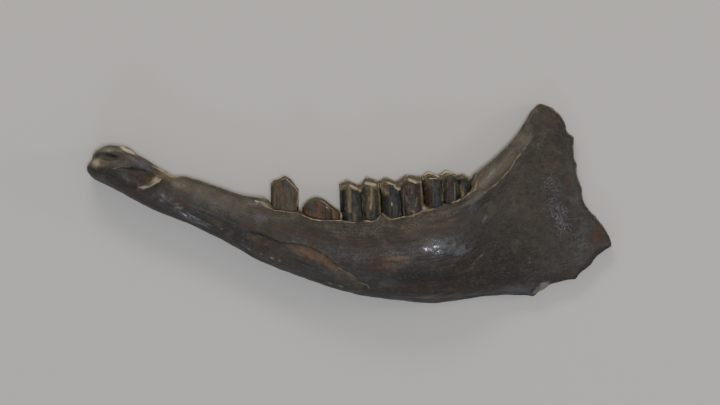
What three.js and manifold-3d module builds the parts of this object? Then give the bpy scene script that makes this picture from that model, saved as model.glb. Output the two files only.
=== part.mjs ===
// Left half of the lower jaw of a large, bison-like bovid: one fossil bone that still holds five cheek teeth.
// It lies on its tongue side. +X runs from the chin back to the ramus, +Y from the lower border up past the
// tooth row, and +Z is the cheek side, which faces up. All lengths are millimetres.
import * as THREE from "three";
import { mergeVertices } from "three/addons/utils/BufferGeometryUtils.js";
import Module from "manifold-3d";

const SOCKET_GAP = 0.35; // between a tooth and the walls of its socket
const ROOT_DEPTH = 25; // of a molar below the rim of its socket
const RIB_STEPS = 19; // faces between the lower and the upper border, on one side
const RIB_EVENNESS = 0.3; // 0 crowds a rib's points at the two borders, 1 spaces them evenly
const HUMP_SHARPNESS = 1.3; // of the bulge and the hollow halfway up a rib
const EASING = 0.5; // how much a table of keys eases in and out of each key, where 0 is straight lines

const BONE = { color: 0x463f38, roughness: 0.5, metalness: 0 };
const ENAMEL = { color: 0x54504a, roughness: 0.35, metalness: 0 };

// The outline seen from the cheek side. Station 0 is the chin's tip and the last one the broken back edge;
// a rib joins the lower point and the upper point of each station.
const CHIN_TIP = [-195.2, 25.5];
const LOWER_BORDER = [
  CHIN_TIP, [-193.5, 21.5], [-189, 17.5], [-182, 14], [-172, 9], [-161.5, 3.5], [-151, -2], [-141, -7],
  [-130.5, -11], [-118.5, -15.5], [-102, -23.5], [-84, -33], [-69.5, -41], [-57.5, -46.5], [-42.5, -52.5],
  [-26, -58.5], [-8, -64], [8, -68], [21.5, -70.5], [35, -72.5], [48.5, -74], [62, -74.5], [75, -73.5],
  [88.5, -71.5], [102, -69.5], [115.5, -68.5], [127.5, -68.5], [138, -68], [149, -61], [158, -58.5],
  [168.5, -55.5], [177.5, -47.5], [187, -38.5], [195, -32],
];
const UPPER_BORDER = [
  CHIN_TIP, [-193.7, 30], [-190.3, 36], [-183.3, 42.3], [-172.8, 44], [-162.4, 41.5], [-153.5, 34.5],
  [-144, 28], [-131.5, 20.5], [-120, 20.3], [-102, 14], [-82.5, 7.5], [-64, 3.7], [-54.5, -2.5], [-38, -5],
  [-21.5, -10], [-3.7, -10.8], [12.7, -10.5], [25.3, -6.5], [39.5, -8.3], [54.4, -2.7], [67.8, 0],
  [80.5, 4.4], [90, 11], [95.4, 22.5], [104.3, 30.3], [113.2, 38.5], [120.3, 46], [126.3, 53.5],
  [131, 60.5], [134.8, 67.4], [138.6, 72.6], [143, 74.8], [152, 72],
];
// The broken back edge, from the last lower point up to the last upper one.
const BACK_EDGE = [
  [195, -32], [195.2, -26.5], [191.5, -19.4], [184.8, -10.4], [177.3, -2.2], [174, 5.6], [172.8, 13.8],
  [170.5, 22], [168.6, 31], [168, 41], [167.6, 48.4], [164.6, 51.8], [162.5, 57.5], [159, 65], [152, 72],
];
const LAST = LOWER_BORDER.length - 1;
const FINE_STRETCHES = [[4, 9], [16, 29]]; // stations between which the ribs stand twice as close
const BACK_RIB_INSET = 0.3; // from the broken back edge to the rib beside it, in stations
const BACK_BEND_FROM = 25; // station where the ribs start to lean towards the shape of the back edge

// Thickness along the jaw, as [station, value]. Heights are above the surface that the bone lies on.
const LOWER_HEIGHT = smooth([
  [0, 13], [3, 13], [6, 13.2], [8, 14.5], [10, 15.5], [14, 17.5], [18, 15.5], [21, 9.5], [23, 5.5], [26, 5.5],
  [29, 6.8], [LAST, 6],
]);
const UPPER_HEIGHT = smooth([
  [0, 13], [3, 13.2], [6, 14.2], [8, 15.5], [10, 17], [13, 20], [16, 19.5], [19, 18.5], [23, 17.5], [26, 16],
  [29, 12.5], [31, 7.5], [32.5, 3.1], [LAST, 2.5],
]);
const HALF_THICKNESS = smooth([
  [0, 0], [1, 8], [2, 12], [3, 14.6], [4.5, 16], [5.5, 15.4], [6.5, 13], [8, 10.5], [10, 9.3], [13, 9.6],
  [16, 11.3], [20, 11.8], [23, 11], [25, 8.5], [27, 6.4], [30, 4.8], [32.7, 4.2], [LAST, 3.6],
]);
const CHEEK_BULGE = smooth([
  [0, 0], [8, 1], [12, 3], [14, 5], [16, 8], [18, 10.5], [20, 12.5], [22, 13], [24, 11], [26, 8], [28, 4],
  [31, 1], [LAST, 0],
]);
const TONGUE_HOLLOW = smooth([[0, 0], [22, 0], [25, 1.5], [28, 2.6], [31, 2], [LAST, 0.4]]);
// Roundness of the two borders: 2 is an ellipse, and a larger number is a blunter, boxier edge.
const LOWER_BLUNTNESS = smooth([[0, 2.2], [14, 2.4], [26, 2.4], [28, 4], [LAST, 4]]);
const UPPER_BLUNTNESS = smooth([
  [0, 2.2], [3, 3.4], [6, 3.2], [8, 2.2], [11, 2.3], [13, 4.5], [23, 4.5], [25, 2.6], [30, 2.8], [31, 4],
  [LAST, 4],
]);

// Relief of the cheek side: points on the outline's plane with the height of the form there, and its reach.
const OBLIQUE_RIDGE = {
  path: [
    [72, -8, 0], [84, -1, 1.5], [94, 4, 3.5], [104, 10.5, 5], [112, 16.5, 5], [120, 25, 5],
    [125.5, 33.5, 4.5], [133, 43, 4], [140, 53, 2.5], [141, 66, 1],
  ],
  reach: 6,
};
const RETROMOLAR_GROOVE = {
  path: [[95, 12, -1.5], [103, 19, -4], [112.5, 29, -4.5], [121, 39.5, -4], [129, 49.5, -2.5], [134, 58, 0]],
  reach: 5.5,
};
const MASSETER_HOLLOW = { path: [[146, 30, -1], [150, -8, -2.5], [152, -36, -1]], reach: 20 };
const FORAMEN_HOLLOW = {
  path: [[-166, 29, 0], [-158, 23.5, -4], [-149, 19, -6], [-144, 16.5, 0]],
  reach: 5.5,
};
const FORAMEN_RIDGE = {
  path: [[-158, 11.5, 1], [-148, 13.5, 2], [-141, 18.5, 2], [-134, 20, 1.5]],
  reach: 4,
};
const CHEEK_RELIEF = [OBLIQUE_RIDGE, RETROMOLAR_GROOVE, MASSETER_HOLLOW, FORAMEN_HOLLOW, FORAMEN_RIDGE];

// Empty incisor sockets in the chin's front rim: centre of each mouth, and the half sizes of its pit.
const INCISOR_MOUTHS = [[-188, 36.5, 5.5], [-187, 39, 12], [-185.5, 40.5, 18.5], [-180.5, 37, 26]];
const INCISOR_PIT = [9, 3.4, 2.7];
const INCISOR_SLOPE = THREE.MathUtils.degToRad(-24); // the sockets run down and back from the rim
const CHIN_TROUGH = { centre: [-163, 47.5, 14.5], half: [19, 7.5, 7.5] };
const PIT_FACETS = 12; // around a pit

// The teeth. The crest is the worn top edge on the tongue side, which is the crown's outline from the cheek;
// its ends are the tooth's front and back. The rim is the top edge on the cheek side. Valleys part the lobes.
// The necks are the heights where the crown ends at the front and the back. The slips are how far behind the
// crest the neck lies at both ends, on the cheek side, and the lean is how far behind the neck the roots end.
const MOLAR_1 = {
  crest: [[-7.4, 14.5], [-1.5, 18], [7.4, 13.5], [13.3, 20.2], [22.2, 16.5]],
  rim: [[-7.4, 9.5], [-1.5, 12.4], [1.5, 12], [7.4, 7.8], [10.4, 12.6], [14, 14.6], [22.2, 11]],
  valleys: [7.4], width: 16, height: 19.5, necks: [-13, -12], slips: [3.7, 2.4], lean: 0, depth: ROOT_DEPTH,
};
const MOLAR_2 = {
  crest: [[22.6, 16.8], [26.9, 19.8], [35, 16.2], [42.3, 21.6], [53.8, 20]],
  rim: [[22.6, 11.5], [26.9, 14], [31.3, 13.4], [36, 10.4], [40, 15], [44, 17.6], [53.8, 13.5]],
  valleys: [36], width: 17, height: 18.5, necks: [-11, -7], slips: [5, 2.5], lean: 1, depth: ROOT_DEPTH,
};
const MOLAR_3 = {
  crest: [[54.2, 20.2], [58.8, 24], [66.5, 21], [72.3, 25], [81.5, 20.8], [85.5, 22.4], [91.3, 18.3]],
  rim: [[54.2, 17], [59, 21], [66.5, 17], [70, 18.5], [75, 21.8], [81, 17.2], [85.5, 19.4], [91.3, 15]],
  valleys: [67, 81], width: 16.5, height: 17.5, necks: [-6, 8], slips: [7, -0.5], lean: 2, depth: ROOT_DEPTH,
};
const PREMOLAR_3 = {
  crest: [[-58.4, 12], [-57.2, 16], [-52.5, 17], [-48.4, 20.6], [-45.6, 20], [-41.7, 16.8], [-37.5, 8.6]],
  rim: [[-58.4, 10.5], [-57, 14], [-52.5, 15.4], [-48.4, 18.6], [-45.6, 18], [-41.7, 14.5], [-37.5, 6.6]],
  valleys: [], width: 11, height: 20.2, necks: [-6, -8], slips: [0.7, -1.3], lean: 0, depth: 18,
};
// The next premolar is only half out: a low unworn dome with a smaller lobe behind it.
const PREMOLAR_4 = {
  crest: [[-35.2, -4], [-34.3, -1.1], [-29.8, 3], [-24.6, 4.9], [-19.4, 3.7], [-14.9, 0.4], [-11.5, -2.6],
    [-7.2, -5.2]],
  rim: [[-35.2, -5.2], [-34.3, -2.8], [-29.8, 1], [-24.6, 2.7], [-19.4, 1.7], [-14, -2.6], [-11.5, -4.2],
    [-7.2, -6.6]],
  valleys: [-13.8], width: 13, height: 20, necks: [-9, -13], slips: [1.5, 0], lean: 0, depth: 18,
};
// A tooth's half width in the valleys and at both ends, as a share of that in the middle of a lobe.
const CHEEK_WAIST = 0.5;
const TONGUE_WAIST = 0.82;
const END_WIDTH = 0.5;
const END_SQUARENESS = 6; // a larger number keeps a tooth's full width closer to both ends
const LOBE_SQUARENESS = 2.4; // the same for one lobe between its valleys
const FLANK_ROUNDNESS = 2; // of both, where a larger number makes steeper flanks
const TONGUE_SLIP = 0.3; // share of the slips on the tongue side, where the teeth stay close together
const LOBE_STEP = 2.1; // length of jaw between two sections of a lobe
const LOBE_CROWDING = 0.6; // how much those sections crowd towards the valleys
const TOP_SAG = 1; // how far the chewing face sags between its two edges
// Levels of a tooth: the collar as a share of the crown's height, the bend as one of the root's length.
const COLLAR = 0.25;
const ROOT_BEND = 0.35;
// Widths at the levels, as a share of the width at the neck.
const RIM_WIDTH = 0.92;
const BEND_WIDTH = 0.9;
const TIP_WIDTH = 0.7;
const FORK = 0.3; // how far up the fork between two roots reaches, as a share of their length
const FORK_REACH = 2.5;
const FOOT_ARCH = 1.5; // how far the underside of a root arches up in its middle
const END_ROOT_LENGTH = 0.8; // length of the roots under a tooth's ends, as a share of those under its middle
const ROOT_TAPER = 0.2; // share of its length along the jaw that a tooth loses down to the tips of its roots
// A socket is wider than its tooth by the gap, longer by this many gaps at both ends and deeper by these.
const SOCKET_SPREAD = 2;
const SOCKET_DEPTH = 3;
const SPREAD_SHARPNESS = 5; // an odd power that keeps the extra length to the two ends

// A function through [position, value] keys that eases from each key to the next.
function smooth(keys) {
  return (at) => {
    const next = keys.findIndex(([position]) => position >= at);
    if (next < 0) return keys.at(-1)[1];
    if (next === 0) return keys[0][1];
    const [[from, low], [to, high]] = [keys[next - 1], keys[next]];
    const share = (at - from) / (to - from);
    const eased = THREE.MathUtils.lerp(share, THREE.MathUtils.smoothstep(share, 0, 1), EASING);
    return THREE.MathUtils.lerp(low, high, eased);
  };
}

// Straight lines through [position, value] keys, for the worn points of a tooth.
function straight(keys) {
  return (at) => {
    const next = Math.max(1, keys.findIndex(([position]) => position >= at));
    const [[from, low], [to, high]] = [keys[next - 1], keys[next]];
    return THREE.MathUtils.lerp(low, high, THREE.MathUtils.clamp((at - from) / (to - from), 0, 1));
  };
}

const bell = (distance) => Math.exp(-distance * distance);

function curveThrough(points) {
  return new THREE.CatmullRomCurve3(points.map(([x, y]) => new THREE.Vector3(x, y, 0)), false, "centripetal");
}

// Height of one form of the relief at a point: that of the nearest place on its path, fading with distance.
function reliefAt({ path, reach }, point) {
  const stretches = path.slice(1).map(([x, y, height], i) => {
    const [fromX, fromY, fromHeight] = path[i];
    const line = new THREE.Line3(new THREE.Vector3(fromX, fromY, 0), new THREE.Vector3(x, y, 0));
    const part = line.closestPointToPointParameter(point, true);
    const away = line.at(part, new THREE.Vector3()).distanceTo(point);
    return { away, height: THREE.MathUtils.lerp(fromHeight, height, part) };
  });
  const nearest = stretches.reduce((best, next) => (next.away < best.away ? next : best));
  return nearest.height * bell(nearest.away / reach);
}

// A closed surface through loops that all have the same number of points. A loop of zero size is a tip.
function loft(loops) {
  const around = loops[0].length;
  const positions = loops.flat().flatMap((p) => [p.x, p.y, p.z]);
  const index = [];
  for (let row = 0; row + 1 < loops.length; row++) {
    for (let i = 0; i < around; i++) {
      const [a, b] = [row * around + i, row * around + ((i + 1) % around)];
      index.push(a, b, a + around, b, b + around, a + around);
    }
  }
  const last = (loops.length - 1) * around;
  // An end cap joins the points of the two sides of the loop that face each other.
  for (let i = 0; i < around / 2; i++) {
    const [a, b, c, d] = [i, i + 1, (around - i) % around, around - i - 1];
    index.push(a, c, b, b, c, d, last + a, last + b, last + c, last + b, last + d, last + c);
  }
  const geometry = new THREE.BufferGeometry();
  geometry.setAttribute("position", new THREE.Float32BufferAttribute(positions, 3));
  geometry.setIndex(index);
  return geometry;
}

const wasm = await Module();
wasm.setup();

function solidOf(geometry) {
  const bare = geometry.clone();
  bare.deleteAttribute("normal");
  bare.deleteAttribute("uv");
  const merged = mergeVertices(bare, 1e-3);
  const vertProperties = new Float32Array(merged.getAttribute("position").array);
  const corners = merged.index.array;
  const triVerts = [];
  for (let i = 0; i < corners.length; i += 3) {
    const [a, b, c] = [corners[i], corners[i + 1], corners[i + 2]];
    if (a !== b && b !== c && c !== a) triVerts.push(a, b, c);
  }
  const surface = new wasm.Mesh({ numProp: 3, vertProperties, triVerts: new Uint32Array(triVerts) });
  return new wasm.Manifold(surface);
}

function geometryOf(solid) {
  const mesh = solid.getMesh();
  const geometry = new THREE.BufferGeometry();
  geometry.setAttribute("position", new THREE.BufferAttribute(mesh.vertProperties, 3));
  geometry.setIndex(new THREE.BufferAttribute(mesh.triVerts, 1));
  return geometry;
}

// One rib of the bone: a closed loop from the upper border down the cheek side and back up the tongue side.
function ribLoop(station, borders) {
  const along = station / LAST;
  const low = borders.lower.getPoint(along);
  const high = borders.upper.getPoint(along);
  const bend = THREE.MathUtils.smoothstep(station, BACK_BEND_FROM, LAST) ** 2;
  const half = HALF_THICKNESS(station);
  const bulge = CHEEK_BULGE(station);
  const hollow = TONGUE_HOLLOW(station);
  const cheek = [];
  const tongue = [];
  for (let step = 0; step <= RIB_STEPS; step++) {
    const rounded = (1 + Math.cos((Math.PI * step) / RIB_STEPS)) / 2;
    const up = THREE.MathUtils.lerp(rounded, 1 - step / RIB_STEPS, RIB_EVENNESS);
    const side = 2 * up - 1;
    const bluntness = side < 0 ? LOWER_BLUNTNESS(station) : UPPER_BLUNTNESS(station);
    const fullness = Math.max(0, 1 - Math.abs(side) ** bluntness) ** (1 / bluntness);
    const hump = (1 - side * side) ** HUMP_SHARPNESS;
    const point = new THREE.Vector3().lerpVectors(low, high, up);
    const onBackEdge = borders.back.getPointAt(up).sub(
      new THREE.Vector3().lerpVectors(borders.back.getPoint(0), borders.back.getPoint(1), up));
    point.addScaledVector(onBackEdge, bend);
    const middle = THREE.MathUtils.lerp(LOWER_HEIGHT(station), UPPER_HEIGHT(station), up);
    const relief = CHEEK_RELIEF.reduce((sum, form) => sum + reliefAt(form, point), 0);
    const outer = middle + half * fullness + bulge * hump + relief * fullness;
    const inner = middle - half * fullness + hollow * hump;
    cheek.push(new THREE.Vector3(point.x, point.y, half ? outer : middle));
    tongue.push(new THREE.Vector3(point.x, point.y, half ? Math.max(0, inner) : middle));
  }
  return [...cheek, ...tongue.slice(1, -1).reverse()];
}

function boneBlank() {
  const borders = {
    lower: curveThrough(LOWER_BORDER),
    upper: curveThrough(UPPER_BORDER),
    back: curveThrough(BACK_EDGE),
  };
  const isFine = (station) => FINE_STRETCHES.some(([from, to]) => station >= from && station < to);
  const stations = LOWER_BORDER.flatMap((_, i) => (isFine(i) ? [i, i + 0.5] : [i]));
  stations.splice(-1, 0, LAST - BACK_RIB_INSET);
  return solidOf(loft(stations.map((station) => ribLoop(station, borders))));
}

function ellipsoid(centre, half, turn) {
  const geometry = new THREE.SphereGeometry(1, PIT_FACETS, PIT_FACETS * 0.75);
  geometry.scale(...half);
  geometry.rotateZ(turn);
  geometry.translate(...centre);
  return solidOf(geometry);
}

// The places of a tooth's sections along the jaw, closer together where two lobes meet. The swell is how far
// a section is from the waist in a valley, which has 0, to the middle of its lobe, which has 1.
function sectionPlaces(tooth) {
  const bounds = [tooth.crest[0][0], ...tooth.valleys, tooth.crest.at(-1)[0]];
  const places = bounds.slice(1).flatMap((to, lobe) => {
    const from = bounds[lobe];
    const steps = Math.round((to - from) / LOBE_STEP) + 1;
    return Array.from({ length: steps }, (_, i) => {
      const share = THREE.MathUtils.lerp(i / steps, (1 - Math.cos((Math.PI * i) / steps)) / 2, LOBE_CROWDING);
      return { x: THREE.MathUtils.lerp(from, to, share), swell: fullness(share, LOBE_SQUARENESS) };
    });
  });
  return [...places, { x: bounds.at(-1), swell: 0 }];
}

// A rounded rise from 0 at both ends of a stretch to 1 in its middle.
function fullness(share, squareness) {
  return (1 - Math.abs(2 * share - 1) ** squareness) ** (1 / FLANK_ROUNDNESS);
}

// A tooth as a loft along the jaw. Each section runs down the cheek side from the crown and up the tongue
// side. With a gap above 0 it is the cutter for the tooth's socket, which stays open above.
function toothGeometry(tooth, gap = 0) {
  const [front, back] = [tooth.crest[0][0], tooth.crest.at(-1)[0]];
  const middle = (front + back + tooth.slips[0] + tooth.slips[1]) / 2;
  const [crestAt, rimAt] = [straight(tooth.crest), straight(tooth.rim)];
  const highest = Math.max(...tooth.crest.map(([, y]) => y));
  const half = tooth.width / 2;
  const loops = sectionPlaces(tooth).map(({ x, swell }) => {
    const share = (x - front) / (back - front);
    const roundness = THREE.MathUtils.lerp(END_WIDTH, 1, fullness(share, END_SQUARENESS));
    const [cheek, tongue] = [CHEEK_WAIST, TONGUE_WAIST].map(
      (waist) => half * Math.min(roundness, THREE.MathUtils.lerp(waist, 1, swell)) + gap);
    const neck = THREE.MathUtils.lerp(...tooth.necks, share);
    const collar = THREE.MathUtils.lerp(neck, highest, COLLAR);
    const fork = Math.max(0, ...tooth.valleys.map((at) => bell((x - at) / FORK_REACH)));
    const length = tooth.depth * (1 - FORK * fork) * THREE.MathUtils.lerp(END_ROOT_LENGTH, 1, roundness);
    const tip = neck - length - SOCKET_DEPTH * gap;
    const spread = SOCKET_SPREAD * gap * (2 * share - 1) ** SPREAD_SHARPNESS;
    const place = (y, out, side) => {
      const depth = Math.max(0, neck - y) / tooth.depth;
      const rise = THREE.MathUtils.clamp((y - neck) / (highest - neck), 0, 1);
      const slip = THREE.MathUtils.lerp(...tooth.slips, share) * (1 - rise) * (side > 0 ? 1 : TONGUE_SLIP);
      const along = THREE.MathUtils.lerp(x + slip + spread, middle, ROOT_TAPER * depth) + tooth.lean * depth;
      return new THREE.Vector3(along, y, tooth.height + side * out);
    };
    const wall = (top, out, side) => {
      const bend = THREE.MathUtils.lerp(tip, neck, ROOT_BEND);
      const levels = [[tip, TIP_WIDTH], [bend, BEND_WIDTH], [neck, 1], [collar, 1]];
      const last = gap ? [highest, 1] : [top, RIM_WIDTH];
      return [...levels, last].map(([y, width]) => place(y, out * width, side));
    };
    const tongueWall = wall(crestAt(x), tongue, -1);
    const cheekWall = wall(rimAt(x), cheek, 1);
    const [tongueTop, cheekTop] = [tongueWall.at(-1), cheekWall.at(-1)];
    const top = [1 / 4, 1 / 2, 3 / 4].map((part) => sagging(tongueTop, cheekTop, part, TOP_SAG));
    const foot = sagging(tongueWall[0], cheekWall[0], 1 / 2, -FOOT_ARCH);
    return [top[1], top[2], ...cheekWall.reverse(), foot, ...tongueWall, top[0]];
  });
  return loft(loops);
}

// A point part of the way from one to another, on a line that sags between them.
function sagging(from, to, part, sag) {
  const point = new THREE.Vector3().lerpVectors(from, to, part);
  point.y -= 4 * sag * part * (1 - part);
  return point;
}

function mesh(name, geometry, finish) {
  const made = new THREE.Mesh(geometry, new THREE.MeshStandardMaterial(finish));
  made.name = name;
  return made;
}

const TEETH = {
  premolar_3: PREMOLAR_3, premolar_4: PREMOLAR_4, molar_1: MOLAR_1, molar_2: MOLAR_2, molar_3: MOLAR_3,
};

function jawbone() {
  const sockets = Object.values(TEETH).map((tooth) => solidOf(toothGeometry(tooth, SOCKET_GAP)));
  const pits = INCISOR_MOUTHS.map((mouth) => ellipsoid(mouth, INCISOR_PIT, INCISOR_SLOPE));
  const trough = ellipsoid(CHIN_TROUGH.centre, CHIN_TROUGH.half, INCISOR_SLOPE);
  const cut = [...sockets, ...pits, trough].reduce((bone, cutter) => bone.subtract(cutter), boneBlank());
  return geometryOf(cut);
}

const jaw = new THREE.Group();
jaw.add(mesh("jawbone", jawbone(), BONE));
for (const [name, tooth] of Object.entries(TEETH)) {
  jaw.add(mesh(name, geometryOf(solidOf(toothGeometry(tooth))), ENAMEL));
}

// The origin is the middle of the footprint, on the surface that the jaw lies on.
const box = new THREE.Box3().setFromObject(jaw);
const middle = box.getCenter(new THREE.Vector3());
jaw.children.forEach((piece) => piece.position.set(-middle.x, -middle.y, -box.min.z));

export default jaw;
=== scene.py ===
# The looks of the left lower jaw of a fossil bovid, which lies on its tongue side under a camera straight
# above it.
import itertools

import bmesh
import bpy
import numpy as np
from mathutils import Matrix, Vector


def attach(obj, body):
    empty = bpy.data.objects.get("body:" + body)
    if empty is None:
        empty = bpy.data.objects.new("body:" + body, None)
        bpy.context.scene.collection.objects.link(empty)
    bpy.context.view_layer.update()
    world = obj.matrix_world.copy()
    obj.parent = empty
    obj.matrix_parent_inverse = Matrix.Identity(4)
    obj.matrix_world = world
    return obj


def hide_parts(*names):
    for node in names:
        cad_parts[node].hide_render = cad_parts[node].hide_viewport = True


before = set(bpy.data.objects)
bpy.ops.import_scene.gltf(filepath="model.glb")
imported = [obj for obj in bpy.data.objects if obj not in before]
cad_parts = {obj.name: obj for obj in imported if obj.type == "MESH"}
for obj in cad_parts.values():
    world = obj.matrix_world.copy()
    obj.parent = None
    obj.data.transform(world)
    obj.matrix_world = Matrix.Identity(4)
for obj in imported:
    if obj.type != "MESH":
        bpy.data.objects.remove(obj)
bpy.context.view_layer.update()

# The photograph's own measures. Every list of places in it is in its pixels, across and down.
PIXEL = 0.745  # size of one pixel on the jaw, in millimetres
PIXEL_ORIGIN = np.array([349, 203.5])  # pixel over the origin of the outline below
VIEW_CENTRE = (360, 202.5)
PHOTO_WIDTH = 720

# From the outline's numbers, in millimetres, to the frame's own origin.
SHIFT = np.array([-0.02, -0.15, 0])
MM = 0.001

# Sizes of the finished meshes, in millimetres between points.
BONE_GRAIN = 0.8
TOOTH_GRAIN = 0.36
MOST_BONE_FACES = 190000

# The bone's outline seen from the cheek. Station 0 is the chin's tip and the last one the broken back edge.
CHIN_TIP = (-195.2, 25.5)
LOWER_BORDER = [
    CHIN_TIP, (-193.5, 21.5), (-189, 17.5), (-182, 14), (-172, 9), (-161.5, 3.5), (-151, -2), (-141, -7),
    (-130.5, -11), (-118.5, -15.5), (-102, -23.5), (-84, -33), (-69.5, -41), (-57.5, -46.5), (-42.5, -52.5),
    (-26, -58.5), (-8, -64), (8, -68), (21.5, -70.5), (35, -72.5), (48.5, -74), (62, -74.5), (75, -73.5),
    (88.5, -71.5), (102, -69.5), (115.5, -68.5), (127.5, -68.5), (138, -68), (149, -61), (158, -58.5),
    (168.5, -55.5), (177.5, -47.5), (187, -38.5), (195, -32),
]
UPPER_BORDER = [
    CHIN_TIP, (-193.7, 30), (-190.3, 36), (-183.3, 42.3), (-172.8, 44), (-162.4, 41.5), (-153.5, 34.5),
    (-144, 28), (-131.5, 20.5), (-120, 20.3), (-102, 14), (-82.5, 7.5), (-64, 3.7), (-54.5, -2.5), (-38, -5),
    (-21.5, -10), (-3.7, -10.8), (12.7, -10.5), (25.3, -6.5), (39.5, -8.3), (54.4, -2.7), (67.8, 0),
    (80.5, 4.4), (90, 11), (95.4, 22.5), (104.3, 30.3), (113.2, 38.5), (120.3, 46), (126.3, 53.5),
    (131, 60.5), (134.8, 67.4), (138.6, 72.6), (143, 74.8), (152, 72),
]
BACK_EDGE = [
    (195, -32), (195.2, -26.5), (191.5, -19.4), (184.8, -10.4), (177.3, -2.2), (174, 5.6), (172.8, 13.8),
    (170.5, 22), (168.6, 31), (168, 41), (167.6, 48.4), (164.6, 51.8), (162.5, 57.5), (159, 65), (152, 72),
]
LAST = len(LOWER_BORDER) - 1
BACK_BEND_FROM = 25
RIB_EVENNESS = 0.3
HUMP_SHARPNESS = 1.3
EASING = 0.5

# Thickness along the jaw at each station, and the roundness of the two borders, where 2 is an ellipse.
LOWER_HEIGHT = [
    (0, 13), (3, 13), (6, 13.2), (8, 14.5), (10, 15.5), (14, 17.5), (18, 15.5), (21, 9.5), (23, 5.5),
    (26, 5.5), (29, 6.8), (LAST, 6),
]
UPPER_HEIGHT = [
    (0, 13), (3, 13.2), (6, 14.2), (8, 15.5), (10, 17), (13, 20), (16, 19.5), (19, 18.5), (23, 17.5),
    (26, 16), (29, 12.5), (31, 7.5), (32.5, 3.1), (LAST, 2.5),
]
HALF_THICKNESS = [
    (0, 0), (1, 8), (2, 12), (3, 14.6), (4.5, 16), (5.5, 15.4), (6.5, 13), (8, 10.5), (10, 9.3), (13, 9.6),
    (16, 11.3), (20, 11.8), (23, 11), (25, 8.5), (27, 6.4), (30, 4.8), (32.7, 4.2), (LAST, 3.6),
]
CHEEK_BULGE = [
    (0, 0), (8, 1), (12, 3), (14, 5), (16, 8), (18, 10.5), (20, 12.5), (22, 13), (24, 11), (26, 8), (28, 4),
    (31, 1), (LAST, 0),
]
TONGUE_HOLLOW = [(0, 0), (22, 0), (25, 1.5), (28, 2.6), (31, 2), (LAST, 0.4)]
LOWER_BLUNTNESS = [(0, 2.2), (14, 2.4), (26, 2.4), (28, 4), (LAST, 4)]
UPPER_BLUNTNESS = [
    (0, 2.2), (3, 3.4), (6, 3.2), (8, 2.2), (11, 2.3), (13, 4.5), (23, 4.5), (25, 2.6), (30, 2.8), (31, 4),
    (LAST, 4),
]

# Broad relief of the cheek side: places with the height of the form there, and how far it reaches.
CHEEK_FORMS = {
    "oblique ridge": (6, [
        (72, -8, 0), (84, -1, 1.5), (94, 4, 3.5), (104, 10.5, 5), (112, 16.5, 5), (120, 25, 5),
        (125.5, 33.5, 4.5), (133, 43, 4), (140, 53, 2.5), (141, 66, 1)]),
    "groove behind the teeth": (5.5, [
        (95, 12, -1.5), (103, 19, -4), (112.5, 29, -4.5), (121, 39.5, -4), (129, 49.5, -2.5), (134, 58, 0)]),
    "hollow of the chewing muscle": (20, [(146, 30, -1), (150, -8, -2.5), (152, -36, -1)]),
    "hollow of the chin's opening": (5.5, [
        (-166, 29, 0), (-158, 23.5, -3.2), (-149, 19, -4.6), (-144, 16.5, 0)]),
    "ridge below the chin's opening": (4, [
        (-158, 11.5, 1), (-148, 13.5, 2), (-141, 18.5, 2), (-134, 20, 1.5)]),
}
# Corners and notches of the outline, across and down in the photograph's pixels, and how far each is pushed
# to the right, how far up, and how far that reaches, in millimetres.
OUTLINE_NUDGES = [
    (610.5, 244, 1.3, -0.9, 3.5), (599, 256.5, -0.3, 0.2, 3), (592, 264, 0.9, -0.9, 3),
    (586, 267, 0.6, -0.8, 3), (576, 279, 0.7, -1.5, 3), (534, 295, 0.3, -1.4, 3), (534, 107, 0.7, -0.5, 3),
    (574, 137, 0.9, 0.7, 3), (567, 130, -0.6, -0.4, 2.5), (577, 165, 1.2, 0.6, 3.5), (582, 190, 1, 0, 5),
    (87.5, 167.5, -0.7, 0, 4), (94, 154, -0.5, 0.6, 3), (91.5, 160, 0.8, -0.3, 2.5),
    (136, 151, -0.8, -1.3, 6), (122, 144.5, 0, -1, 9), (167, 171.5, 0.3, 0.9, 5), (192, 179, 0, -0.9, 6),
    (246, 197.5, 0, -0.8, 6), (265.5, 203, 0, 1.5, 4.5), (544, 287, 0.5, -0.9, 3.5)]
# Pits cut into the bone: middle, half sizes, turn in degrees. Three are empty sockets of front teeth. The
# fourth is that of the outermost one, worn open into a saucer. The last is where the nerve enters.
INCISOR_PIT = (9, 3.4, 2.7)
BONE_PITS = [
    ((-188, 36.5, 5.5), INCISOR_PIT, -24), ((-187, 39, 12), INCISOR_PIT, -24),
    ((-185.5, 40.5, 18.5), INCISOR_PIT, -24), ((-181.5, 35.2, 29.5), (10.5, 3.7, 3.7), -8.5),
    ((127, 1, 6.5), (6, 2.6, 4), 38)]
# Bone that stands up behind the last molar, between the last two and before the first, in the same way.
BONE_RISES = [
    ((92.6, 14.6, 16), (3.2, 9, 6), -22), ((55.4, -3.6, 24.6), (1.9, 4.2, 2.2), 0),
    ((-5.7, -11, 20), (1.9, 5, 4.5), 0)]

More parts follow.
